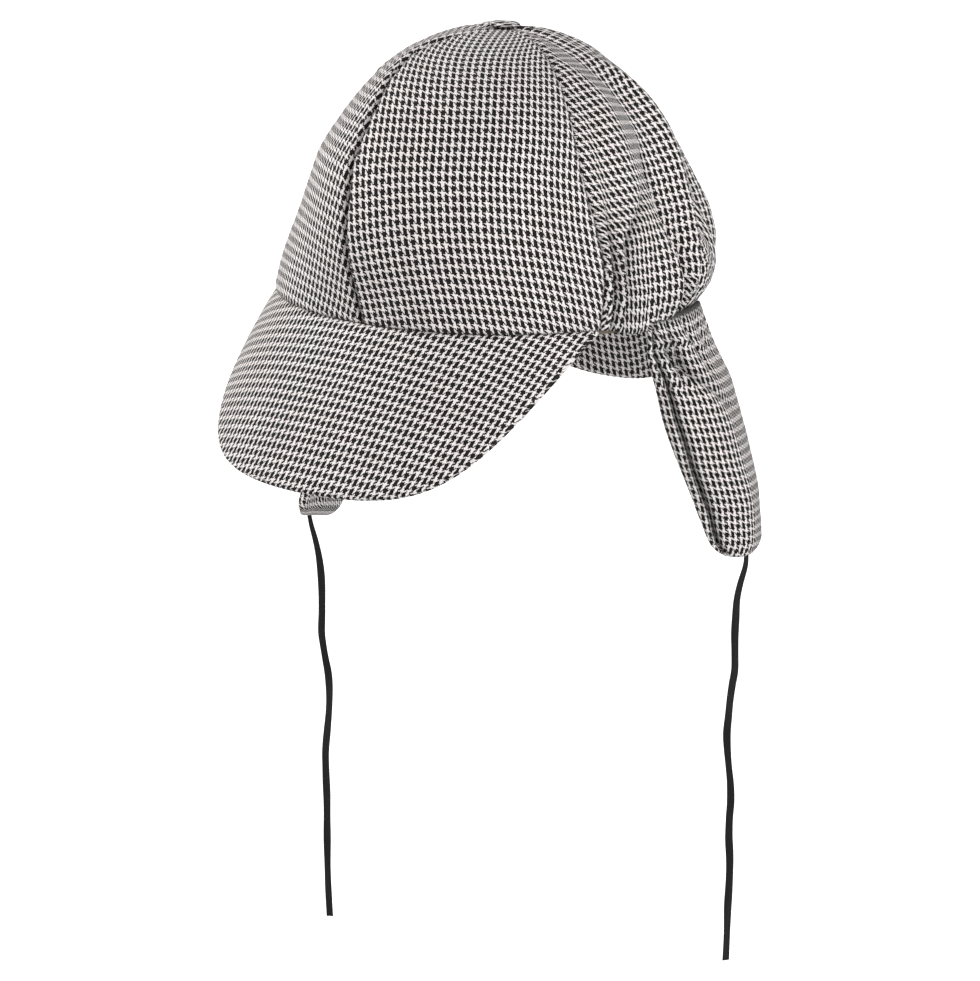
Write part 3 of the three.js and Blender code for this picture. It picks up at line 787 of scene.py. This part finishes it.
def makePanel(node, fromSeam, toSeam):
    # One gore: rows run from the hem to the top and columns from seam to seam. The folds,
    # creases, rolled seam edges and turned hem all move the cloth along its facing.
    grain, fine = grains[node], fineness[node.split("_")[2]]
    share = np.linspace(0, 1, fine["rows"])[:, None]
    t = crown["top"] * share
    around = np.linalg.norm(crownBase(90.0, t[:, 0]) - crownBase(-90.0, t[:, 0]), axis=-1)[:, None] / 2
    perDegree = np.maximum(around, 6) * math.pi / 180
    first = seamAngle(fromSeam, t) + crown["seamGap"] / 2 / perDegree
    last = seamAngle(toSeam, t) - crown["seamGap"] / 2 / perDegree
    width = float(((last - first) * perDegree).max())
    columns = int(width / fine["spacing"])
    even = np.linspace(0, 1, columns)
    crossing = even - fine["gather"] * np.sin(even * math.tau) / math.tau
    angle = mix(first, last, crossing[None, :])
    level = mix(hemShare(angle), crown["top"], share)
    height = along(crown["height"], level)
    facing = crownFacing(angle, level)
    fromEdge = np.minimum(angle - first, last - angle) * perDegree
    aboveHem = height - along(crown["height"], hemShare(angle))
    arc = (angle - grain["middle"]) * math.pi / 180 * around
    folded, deep = foldLift(angle, level)
    atSeam = smooth(crown["foldAtSeam"] + fromEdge / crown["foldReach"])
    lift = (folded + creaseLift(angle, level)) * atSeam
    # painted shade: the cloth is painted darker where it lies deep in a narrow fold
    shade = crown["foldShade"] * smooth(deep / surface["foldDeep"])
    for seam, gap in ((fromSeam, (angle - first) * perDegree), (toSeam, (last - angle) * perDegree)):
        kind = seam.replace("Right", "")
        sunk = crown["seamDepth"][kind] * crease(gap / crown["seamWidth"][kind])
        sunk = sunk * (1 - crown["seamEase"] * share)
        lift -= sunk
        # painted shade: the cloth is also painted darker along a sunk seam
        shade = np.maximum(shade, crown["seamShade"] * sunk)
    allowance, pucker, sag, ripple = (surface[k] for k in ("allowance", "pucker", "sag", "ripple"))
    lift += allowance["rise"] * bell((fromEdge - allowance["at"]) / allowance["width"]) * (1 - share)
    puckered = pucker["rise"] * bell(fromEdge / pucker["width"]) * smooth(aboveHem / pucker["start"])
    lift += puckered * waver(arc, height, pucker["size"], pucker["seed"])
    lift -= crown["hemDepth"] * bell(aboveHem / crown["hemWidth"])
    calm = smooth(aboveHem / crown["hemStart"]) * smooth((1 - share) / crown["topStart"])
    lift += calm * (sag["rise"] * waver(arc * sag["stretch"], height, sag["size"], grain["seed"])
                    + ripple["rise"] * waver(arc, height, ripple["size"], ripple["seed"]))
    base = crownBase(angle, level)
    points = base + facing * lift[..., None]
    points[..., 2] += hemRise(angle, "drop") * (1 - smooth(height / crown["hemStart"]))
    points[..., 2] -= crown["hemLap"] * (1 - smooth(height / crown["lapHeight"]))
    # the cloth is measured along its own surface, from the middle thread outwards
    across = arcs(points, 1)
    start = np.interp((grain["middle"] - first) / (last - first), crossing, np.arange(columns))
    near = np.floor(start).astype(int).clip(0, columns - 2)
    zero = mix(np.take_along_axis(across, near, 1), np.take_along_axis(across, near + 1, 1), start - near)
    across = across - zero
    rise = arcs(crownBase(0 * angle + grain["middle"], level), 0)
    pulled = across - grain["pull"] * np.clip(1 - height / pullHeight, 0, 1) ** 2
    u = pulled + grain["lean"] * rise + grain["cut"]
    v = rise - grain["tilt"] * pulled + grain["arch"] * across**2
    place = np.interp(height, foldLevels, np.linspace(0, 1, len(foldLevels)))
    for band in gathers:
        passed, own = ((a - along(band["angle"], place)) / (2 * band["width"])
                       for a in (angle, grain["middle"]))
        u = u + along(band["cloth"], place) * (smooth(passed + 0.5) - smooth(own + 0.5))
    piece = makeMesh(node + "_cloth", points, np.stack([u, v], -1), shade=shade)
    thicken(piece, crown["thickness"])
    settle(piece, node, checkMaterial)


panels = {
    "crown_panel_front_left": ("middle", "side"),
    "crown_panel_side_left": ("side", "rear"),
    "crown_panel_back_left": ("rear", "back"),
    "crown_panel_front_right": ("sideRight", "middle"),
    "crown_panel_side_right": ("rearRight", "sideRight"),
    "crown_panel_back_right": ("backRight", "rearRight"),
}
for node, (fromSeam, toSeam) in panels.items():
    makePanel(node, fromSeam, toSeam)
print("crown made")


# Covered button.
button = {
    "radius": 6.8, "rise": 2.2, "gap": 0.3, "rows": 26, "columns": 96,
    "pleats": 22, "pleatDepth": 0.12, "pleatAt": 0.62, "pleatWidth": 0.12,
    "turnedUnder": 0.93, "grainTurn": 0.4, "upperRound": 0.9, "lowerRound": 0.55,
    "uneven": 0.1, "unevenSize": 5, "seed": 8, "clothReach": 1.6,
}


def makeButton():
    # a low dome turned under at its rim, with faint pleats where the cloth is drawn underneath
    s = np.linspace(0, 1, button["rows"])[:, None]
    turn = np.linspace(0, math.tau, button["columns"], endpoint=False)[None, :]
    swing = s * math.pi * button["turnedUnder"]
    radius = button["radius"] * np.sin(np.minimum(swing, math.pi)) ** button["lowerRound"]
    upper = button["radius"] * np.sin(swing) ** button["upperRound"]
    radius = np.where(swing < math.pi / 2, upper, radius)
    rise = button["rise"] * (0.5 + 0.5 * np.cos(swing))
    rim = bell((s - button["pleatAt"]) / button["pleatWidth"])
    radius = radius - button["pleatDepth"] * rim * (1 + np.sin(turn * button["pleats"]))
    radius = np.maximum(radius, 0.05)
    x = crown["lean"][-1] + radius * np.sin(turn)
    y = crown["apexBack"] - radius * np.cos(turn)
    uneven = button["uneven"] * waver(x, y, button["unevenSize"], button["seed"])
    z = crown["height"][-1] + button["gap"] + rise + uneven * (1 - rim)
    points = np.stack(np.broadcast_arrays(x, y, z), -1)
    far = s * button["radius"] * button["clothReach"]
    full = np.linspace(0, math.tau, button["columns"] + 1)[None, :] + button["grainTurn"]
    uv = np.stack(np.broadcast_arrays(far * np.sin(full), far * np.cos(full)), -1)
    middle = (crown["lean"][-1], crown["apexBack"], crown["height"][-1] + 1)
    piece = makeMesh("top_button_cover", points, uv, closed=True, caps=True, inside=middle)
    settle(piece, "top_button", checkMaterial)


makeButton()
print("button made")


# Sweatband.
opening = {"front": 96, "side": 87}
sweatband = {
    "radius": 92, "thickness": 1.4, "inset": 3.4, "topInset": 5.9, "bottom": -3, "top": 9,
    "columns": 420, "rows": 12, "bend": 7, "stitch": 2.4, "stitchDepth": 0.16,
    "stitchAt": 0.2, "stitchWidth": 0.06, "length": 575, "wave": 0.25, "waveSize": 30, "seed": 21,
}


def openingPoint(angle, inset, height):
    turn = np.radians(angle)
    return np.stack(np.broadcast_arrays((opening["side"] - inset) * np.sin(turn),
                                        -(opening["front"] - inset) * np.cos(turn), height), -1)


def makeSweatband():
    # A closed band: its section goes up the outer face, over the top and down the inner face,
    # with round edges, and a line of stitches dimples it just above its lower edge.
    angle = np.linspace(0, 360, sweatband["columns"], endpoint=False)
    topShare = sweatband["top"] / crown["height"][1] / (len(crown["height"]) - 1)
    facing = crownFacing(angle, np.full_like(angle, topShare))
    top = crownBase(angle, np.full_like(angle, topShare))
    bottomOuter = openingPoint(angle, sweatband["inset"], sweatband["bottom"])
    topOuter = top - facing * sweatband["topInset"]
    half = sweatband["thickness"] / 2
    height = sweatband["top"] - sweatband["bottom"]
    s = np.linspace(0, 1, sweatband["rows"])
    bend = np.linspace(0, math.pi, sweatband["bend"])[1:-1]
    rounded = half / height * np.sin(bend)
    rise = np.concatenate([s, 1 + rounded, s[::-1], -rounded])
    depth = np.concatenate([0 * s, half * (1 - np.cos(bend)), 0 * s + 2 * half, half * (1 + np.cos(bend))])
    rise, depth = rise[:, None], depth[:, None]
    wave = waver(angle * 1.5, rise * height, sweatband["waveSize"], sweatband["seed"])
    wave = sweatband["wave"] * wave
    travelled = angle / 360 * math.tau * sweatband["radius"]
    pull = 0.6 + 0.4 * np.sin(travelled * math.tau / sweatband["stitch"])
    line = bell((rise - sweatband["stitchAt"]) / sweatband["stitchWidth"])
    stitched = sweatband["stitchDepth"] * line * pull
    inward = facing[None] * (wave - depth - stitched * np.sign(depth - half))[..., None]
    points = mix(bottomOuter[None], topOuter[None], rise[..., None]) + inward
    full = np.linspace(0, sweatband["length"], sweatband["columns"] + 1)
    upCloth = arcs(points[:, 0], 0)[:, None]
    uv = np.stack(np.broadcast_arrays(full[None, :], upCloth), -1)
    points = np.concatenate([points, points[:1]])
    uv = np.concatenate([uv, uv[:1] + [0, upCloth[-1, 0] + 0.5]])
    piece = makeMesh("sweatband_cloth", points, uv, closed=True, inside=(0, 0, 3))
    weld = piece.modifiers.new("weld", "WELD")
    weld.merge_threshold = 0.00001
    settle(piece, "sweatband", bandMaterial)


makeSweatband()
print("sweatband made")


# Peaks. Each fans out from its middle angle over half of its spread either way. Its slope eases
# from its middle to its ends, mirror turns the twill's slant, and lean and ease fit its cloth.
frontPeak = {
    "node": "front_peak", "middle": -0.5, "half": 67, "length": 73.5, "cornering": 5, "rounding": 0.86,
    "slopeMiddle": 60, "slopeEnd": 42, "spread": 0.03, "crown": 1.5, "thickness": 3, "shift": 0.9,
    "mirror": -1, "lean": -0.13, "ease": 1.06, "seed": 31,
}
backPeak = {
    "node": "back_peak", "middle": 186, "half": 48, "length": 63, "cornering": 2.3, "rounding": 1.1,
    "slopeMiddle": 68, "slopeEnd": 58, "spread": 0.3, "crown": 1.5, "thickness": 3, "shift": 2.2,
    "mirror": 1, "lean": 0, "ease": 1, "seed": 32,
}
peakEdge = {
    "endLength": 1.2, "across": 190, "top": 74, "bend": 11,
    "seam": 0.5, "allowance": 5, "ridge": 0.22, "tuck": 0.5, "tuckWidth": 1.2,
    "sag": 0.14, "sagSize": 26, "ripple": 0.05, "rippleSize": 8, "rippleSeed": 9,
    "underShift": (1.3, 0.7), "endStep": 0.004, "seamRound": 0.3, "rootZ": -0.3,
}


def makePeak(shape):
    # Fall lines run out and down from the opening. Each carries a closed section: the upper
    # cloth, a round edge with the sewn seam sunk in its middle, and the lower cloth.
    even = np.linspace(peakEdge["endStep"], 1 - peakEdge["endStep"], peakEdge["across"])
    across = -np.cos(even * math.pi)[None, :]
    angle = shape["middle"] + shape["half"] * across
    heading = np.radians(shape["middle"] + shape["spread"] * shape["half"] * across)
    slope = np.radians(mix(shape["slopeMiddle"], shape["slopeEnd"], across**2))
    reach = (1 - np.abs(across) ** shape["cornering"]) ** (1 / shape["rounding"])
    out = np.stack([np.sin(heading), -np.cos(heading), 0 * heading], -1)
    up = np.array([0, 0, 1.0])
    fall = out * np.cos(slope)[..., None] - up * np.sin(slope)[..., None]
    facing = out * np.sin(slope)[..., None] + up * np.cos(slope)[..., None]
    half = shape["thickness"] / 2
    length = shape["length"] * reach + peakEdge["endLength"]
    flat = np.maximum(length - half, 0.2)
    share = np.linspace(0, 1, peakEdge["top"])[:, None]
    bend = np.linspace(0, math.pi, peakEdge["bend"])[1:-1, None]
    sunk = 1 - peakEdge["seam"] / half * bell((bend - math.pi / 2) / peakEdge["seamRound"])
    distance = np.concatenate([share * flat, flat + half * np.sin(bend) * sunk, share[::-1] * flat])
    rise = np.concatenate([0 * share + half, half * np.cos(bend) * sunk, 0 * share[::-1] - half])
    where = distance / length
    upper = np.sign(rise)
    bulge = shape["crown"] * 4 * where * np.clip(1 - where, 0, 1) * reach
    fromEdge = length - distance
    relief = peakEdge["ridge"] * smooth((peakEdge["allowance"] + 1 - fromEdge) / 2) * smooth(fromEdge / 2)
    x = opening["side"] * np.sin(np.radians(angle))
    relief = relief + peakEdge["sag"] * waver(x, distance, peakEdge["sagSize"], shape["seed"])
    ripple = waver(x, distance, peakEdge["rippleSize"], peakEdge["rippleSeed"])
    relief = relief + peakEdge["ripple"] * ripple
    tuck = peakEdge["tuck"] * bell(distance / peakEdge["tuckWidth"])
    rise = rise + bulge - half + upper * relief * np.minimum(1, fromEdge / 3)
    rise = rise - np.where(upper > 0, tuck, 0)
    start = openingPoint(angle, 0, peakEdge["rootZ"])
    points = start + fall * distance[..., None] + facing * rise[..., None]
    # flat cloth: across is the way travelled square to the fall lines, and down is counted from
    # a straight line through the middle of the root, so the rows stay straight on the board
    root = start[0]
    steps = np.diff(root, axis=0)
    fallSteps = (fall[0][1:] + fall[0][:-1]) / 2
    downRoot = np.concatenate([[0], np.cumsum(np.einsum("ij,ij->i", steps, fallSteps))])
    acrossRoot = np.concatenate([[0], np.cumsum(np.linalg.norm(
        steps - fallSteps * np.einsum("ij,ij->i", steps, fallSteps)[:, None], axis=1))])
    middle = peakEdge["across"] // 2
    u = (acrossRoot - acrossRoot[middle]) * shape["ease"] + shape["shift"]
    v = -(downRoot - downRoot[middle] + arcs(points, 0))
    under = np.concatenate([0 * share, 0 * bend + 0.5, 0 * share + 1])
    u = u[None, :] + shape["lean"] * v + under * peakEdge["underShift"][0]
    uv = np.stack(np.broadcast_arrays(shape["mirror"] * u, v - under * peakEdge["underShift"][1]), -1)
    inside = tuple(points.reshape(-1, 3).mean(0))
    # close the section at the root
    points = np.concatenate([points, points[:1]])
    uv = np.concatenate([uv, uv[:1]])
    piece = makeMesh(shape["node"] + "_cloth", points, uv, inside=inside)
    closeEnds(piece)
    settle(piece, shape["node"], checkMaterial)


def closeEnds(piece):
    # the root row is merged with its copy, and the two open ends are filled
    mesh = piece.data
    work = bmesh.new()
    work.from_mesh(mesh)
    bmesh.ops.remove_doubles(work, verts=work.verts, dist=0.000002)
    rims = [edge for edge in work.edges if edge.is_boundary]
    bmesh.ops.holes_fill(work, edges=rims, sides=0)
    bmesh.ops.recalc_face_normals(work, faces=work.faces)
    work.to_mesh(mesh)
    work.free()
    mesh.update()


makePeak(frontPeak)
makePeak(backPeak)
print("peaks made")


# Ear flaps.
# One value per level down a flap: fore and aft are its edges along Y, trimmed where the bent cloth
# draws in, out is how far it stands out, pad is half its thickness, wrap how much of the opening's
# curve it follows and bend how much it is bent about a line down its outer face. By side, 1 is the
# left flap and -1 the right: reach is how far down it hangs, forward how far its tip swings
# forward, and tipFore and tipSlant widen and slant the tip. ease and gather take up cloth across
# the flap, gather on its rear third.
flaps = {
    "level": [-0.4, -8, -17, -30, -45, -60, -76, -90, -101, -108],
    "fore": [-10, -11.5, -12, -9.5, -6, -1, 7, 15, 23, 31],
    "aft": [41, 44, 47, 51.5, 54.5, 58.5, 62, 64, 63, 57],
    "out": [86.6, 89.4, 93, 98.5, 103.5, 106, 108, 108.5, 108, 106.5],
    "pad": [2.4, 3.4, 4.6, 5.6, 6.2, 6.2, 5.8, 5, 4, 2.6],
    "bend": [0, 0.15, 0.45, 0.75, 1, 1, 1, 0.9, 0.7, 0.4],
    "bendAt": -0.17,
    "bendSlant": 5.2,
    "bendDepth": 9.6,
    "bendRound": 0.2,
    "bendSink": 2.6,
    "foreTrim": [0, 0.5, 3, 5.5, 7, 8.5, 9.5, 8.5, 5.5, 2],
    "aftTrim": [0, -2, -4.5, -6.5, -8, -8.5, -8.5, -7, -4, -1],
    "wrap": [1, 0.8, 0.5, 0.25, 0.1, 0.05, 0, 0, 0, 0],
    "squareness": 2.6,
    "reach": {1: 1, -1: 1.105},
    "forward": {1: 0, -1: 20},
    "tipFore": {1: 0, -1: 9},
    "tipSlant": {1: 0.04, -1: 0.2},
    "rows": 150,
    "columns": 260,
    "seamTurn": 0.83,
    "seamDepth": 4.6,
    "seamWidth": 1.1,
    "seamShift": 1.4,
    "ease": 1.14,
    "gather": 12,
    "cut": {1: 0.7, -1: 1.9},
    # seamShade, creaseShade, rootShade and tipShade are painted shade: how much darker the cloth is painted
    # in the seam, in the creases, at the root and at the tip's end; shadeEnds is where the root shade ends
    # and where and over what the tip shade begins, and creaseDeep is how deep a crease is at full painted
    # shade
    "seamShade": 0.8,
    "creaseShade": 0.55,
    "rootShade": 0.85,
    "tipShade": 0.4,
    "tipRound": 0.38,
    "tipStart": 0.9,
    "tipForeFrom": 0.75,
    "tipForeOver": 0.2,
    "tipSlantRate": 3.3,
    "tipSlantFrom": 2.3,
    "faceEdge": 1.6,
    "seamReach": 0.62,
    "seamEnds": (0.08, 0.05),
    "reliefEnds": (0.1, 0.08),
    "girth": 30,
    "gatherFrom": 0.3,
    "stretch": 1.02,
    "creaseDeep": 4,
    "shadeEnds": (0.03, 0.975, 0.02),
    "sag": {"rise": 0.45, "size": 34, "seed": 40},
    "ripple": {"rise": 0.12, "size": 9, "seed": 50},
}

# Creases on the flap's outer face, each from one point to another as (y, z) in mm.
flapCreases = {
    "from": [(-4, -5), (-1, -1), (10, -1), (24, -2), (-8, -10), (38, -4), (0, -18), (-4, -6)],
    "to": [(6, -30), (12, -34), (24, -28), (32, -24), (34, -44), (44, -32), (18, -40), (26, -16)],
    "width": [1.6, 1.6, 1.9, 1.8, 2.6, 2.2, 1.4, 1.4],
    "lift": [-3.4, -3.6, -2.6, -1.6, -2.4, -1.4, 1.4, 1.6],
}


def openingReach(y):
    return opening["side"] * np.sqrt(np.clip(1 - (y / opening["front"]) ** 2, 0, 1))


def flapCreaseLift(y, z):
    # each crease is sharp across its line and fades towards its two ends
    total = np.zeros_like(y)
    for begin, stop, width, lift in zip(*flapCreases.values()):
        begin, stop = np.array(begin, float), np.array(stop, float)
        span = stop - begin
        share = ((y - begin[0]) * span[0] + (z - begin[1]) * span[1]) / (span @ span)
        near = np.clip(share, 0, 1)
        gap = np.hypot(y - begin[0] - near * span[0], z - begin[1] - near * span[1])
        fade = np.sin(np.clip(share, 0.02, 0.98) * math.pi) ** 0.5
        total = total + lift * crease(gap / width) * fade
    return total


def makeFlap(side, node):
    # Rounded sections stacked down the flap. Each runs round from its aft edge over its outer face.
    t = np.linspace(0, 1, flaps["rows"])[:, None]
    turn = np.linspace(0, math.tau, flaps["columns"], endpoint=False)[None, :]
    m = flaps["squareness"]
    radius = (np.abs(np.cos(turn)) ** m + np.abs(np.sin(turn)) ** m) ** (-1 / m)
    fore = along(flaps["fore"], t) + along(flaps["foreTrim"], t)
    aft = along(flaps["aft"], t) + along(flaps["aftTrim"], t)
    level = along(flaps["level"], t)
    rounding = np.clip((t - flaps["tipStart"]) / (1 - flaps["tipStart"]), 0, 1)
    tip = 1 - flaps["tipRound"] * (1 - np.sqrt(1 - rounding**2))
    fore = fore - flaps["tipFore"][side] * smooth((t - flaps["tipForeFrom"]) / flaps["tipForeOver"])
    middle = (fore + aft) / 2
    y = middle + (aft - fore) / 2 * np.cos(turn) * radius * tip
    outer = np.sin(turn) * radius * tip
    slant = flaps["tipSlant"][side] * smooth(t * flaps["tipSlantRate"] - flaps["tipSlantFrom"])
    z = level * mix(1, flaps["reach"][side], t) - (y - fore) * slant
    creaseDepth = flapCreaseLift(y, z)
    outerFace = smooth(outer * flaps["faceEdge"])
    pad = along(flaps["pad"], t) * outer
    fromSeam = np.angle(np.exp(1j * (turn - flaps["seamTurn"] * math.pi)))
    fromSeam = fromSeam * (aft - fore) / 2 * flaps["seamReach"]
    seam = flaps["seamDepth"] * crease(fromSeam / flaps["seamWidth"])
    seam = seam * smooth(t / flaps["seamEnds"][0]) * smooth((1 - t) / flaps["seamEnds"][1])
    around = turn * flaps["girth"]
    sag, ripple = flaps["sag"], flaps["ripple"]
    relief = (sag["rise"] * waver(y, z, sag["size"], sag["seed"] + side)
              + ripple["rise"] * waver(around, z, ripple["size"], ripple["seed"] + side))
    relief = relief * smooth(t / flaps["reliefEnds"][0]) * smooth((1 - t) / flaps["reliefEnds"][1])
    out = along(flaps["out"], t) + pad + along(flaps["wrap"], t) * (openingReach(y) - openingReach(middle))
    across = (y - middle) / ((aft - fore) / 2) - flaps["bendAt"]
    bent = flaps["bendSlant"] * across - flaps["bendSink"]
    bent = bent - flaps["bendDepth"] * (np.sqrt(across**2 + flaps["bendRound"] ** 2) - flaps["bendRound"])
    out = out + along(flaps["bend"], t) * bent + (creaseDepth + relief) * outerFace
    # the seam is sunk square to the section, which runs anticlockwise seen from below
    stepY = np.roll(y, -1, 1) - np.roll(y, 1, 1)
    stepOut = np.roll(out, -1, 1) - np.roll(out, 1, 1)
    stepLength = np.hypot(stepY, stepOut) + 1e-6
    out, y = out + seam * stepY / stepLength, y - seam * stepOut / stepLength
    points = np.stack([side * out, y - flaps["forward"][side] * t, z], -1)
    ring = np.concatenate([points, points[:, :1]], axis=1)
    travelled = arcs(ring, 1)
    # the outer cloth's middle thread runs down the middle of the outer face
    quarter = flaps["columns"] // 4
    full = np.linspace(0, math.tau, flaps["columns"] + 1)[None, :]
    gather = flaps["gather"] * smooth((np.cos(full) - 0.05) / 0.8)
    gather = gather * smooth(t / flaps["gatherFrom"])
    u = -flaps["ease"] * (travelled - travelled[:, quarter:quarter + 1]) + gather * np.sign(math.pi - full)
    v = z[:, :1] * flaps["stretch"]
    beyond = full > flaps["seamTurn"] * math.pi
    u = side * (u + flaps["seamShift"] * beyond) + flaps["cut"][side]
    uv = np.stack(np.broadcast_arrays(u, v), -1)
    inside = tuple(points.reshape(-1, 3).mean(0))
    # painted shade: the cloth is painted darker along the seam, in the creases of the outer face, at the
    # root and at the tip's end
    shade = (flaps["seamShade"] * seam / flaps["seamDepth"]
             + flaps["creaseShade"] * smooth(-creaseDepth / flaps["creaseDeep"]) * outerFace)
    root, tipFrom, tipOver = flaps["shadeEnds"]
    ends = (flaps["rootShade"] * (1 - smooth(t / root))
            + flaps["tipShade"] * smooth((t - tipFrom) / tipOver))
    shade = np.maximum(shade, ends)
    piece = makeMesh(node + "_padded", points, uv, closed=True, caps=True, inside=inside, shade=shade)
    settle(piece, node, checkMaterial)


makeFlap(1, "ear_flap_left")
makeFlap(-1, "ear_flap_right")
print("flaps made")


# Floor and light, all in metres.
studio = {
    "floorZ": -0.345,
    "floorSize": 14,
    "floor": (0.6, 0.6, 0.6, 1),
    "floorRoughness": 0.9,
    "world": (1.0, 1.0, 1.0, 1),
    "worldStrength": 0.27,
    "lights": {
        "key": {"at": (0.25, -2.0, 1.35), "size": 0.6, "power": 11, "colour": (1.0, 0.995, 0.99)},
        "left": {"at": (-2.2, -0.7, 0.9), "size": 1.4, "power": 62, "colour": (1.0, 1.0, 1.0)},
        "fill": {"at": (2.1, -0.6, 0.7), "size": 1.2, "power": 38, "colour": (0.98, 0.99, 1.0)},
        "rim": {"at": (0.3, 1.9, 1.4), "size": 1.4, "power": 13, "colour": (1.0, 1.0, 1.0)},
    },
}


def makeStudio():
    bpy.ops.mesh.primitive_plane_add(size=studio["floorSize"], location=(0, 0, studio["floorZ"]))
    floor = bpy.context.object
    floor.name = "floor"
    paint = bpy.data.materials.new("floorPaint")
    paint.use_nodes = True
    shader = paint.node_tree.nodes["Principled BSDF"]
    shader.inputs["Base Color"].default_value = studio["floor"]
    shader.inputs["Roughness"].default_value = studio["floorRoughness"]
    # the floor reads as the photograph's white ground to the camera and lights nothing
    seen = NodeKit(paint.node_tree).new("ShaderNodeLightPath").outputs["Is Camera Ray"]
    paint.node_tree.links.new(seen, shader.inputs["Emission Color"])
    shader.inputs["Emission Strength"].default_value = 1
    floor.data.materials.append(paint)
    for name, light in studio["lights"].items():
        lamp = bpy.data.objects.new(name, bpy.data.lights.new(name, "AREA"))
        scene.collection.objects.link(lamp)
        lamp.data.shape = "SQUARE"
        lamp.data.size = light["size"]
        lamp.data.energy = light["power"]
        lamp.data.color = light["colour"]
        place = np.array(light["at"])
        back = place / np.linalg.norm(place)
        level = np.cross([0, 0, 1], back)
        level /= np.linalg.norm(level)
        lamp.matrix_world = standing(level, np.cross(back, level), back, place)
    world = bpy.data.worlds.new("studio")
    world.use_nodes = True
    # beyond the floor the ground stays white to the camera
    kit = NodeKit(world.node_tree)
    background = world.node_tree.nodes["Background"]
    background.inputs["Color"].default_value = studio["world"]
    seen = kit.new("ShaderNodeLightPath").outputs["Is Camera Ray"]
    kit.feed(background.inputs["Strength"], kit.math("MAXIMUM", seen, studio["worldStrength"]))
    scene.world = world
    scene.view_settings.view_transform = "Standard"


makeStudio()
print("studio made")
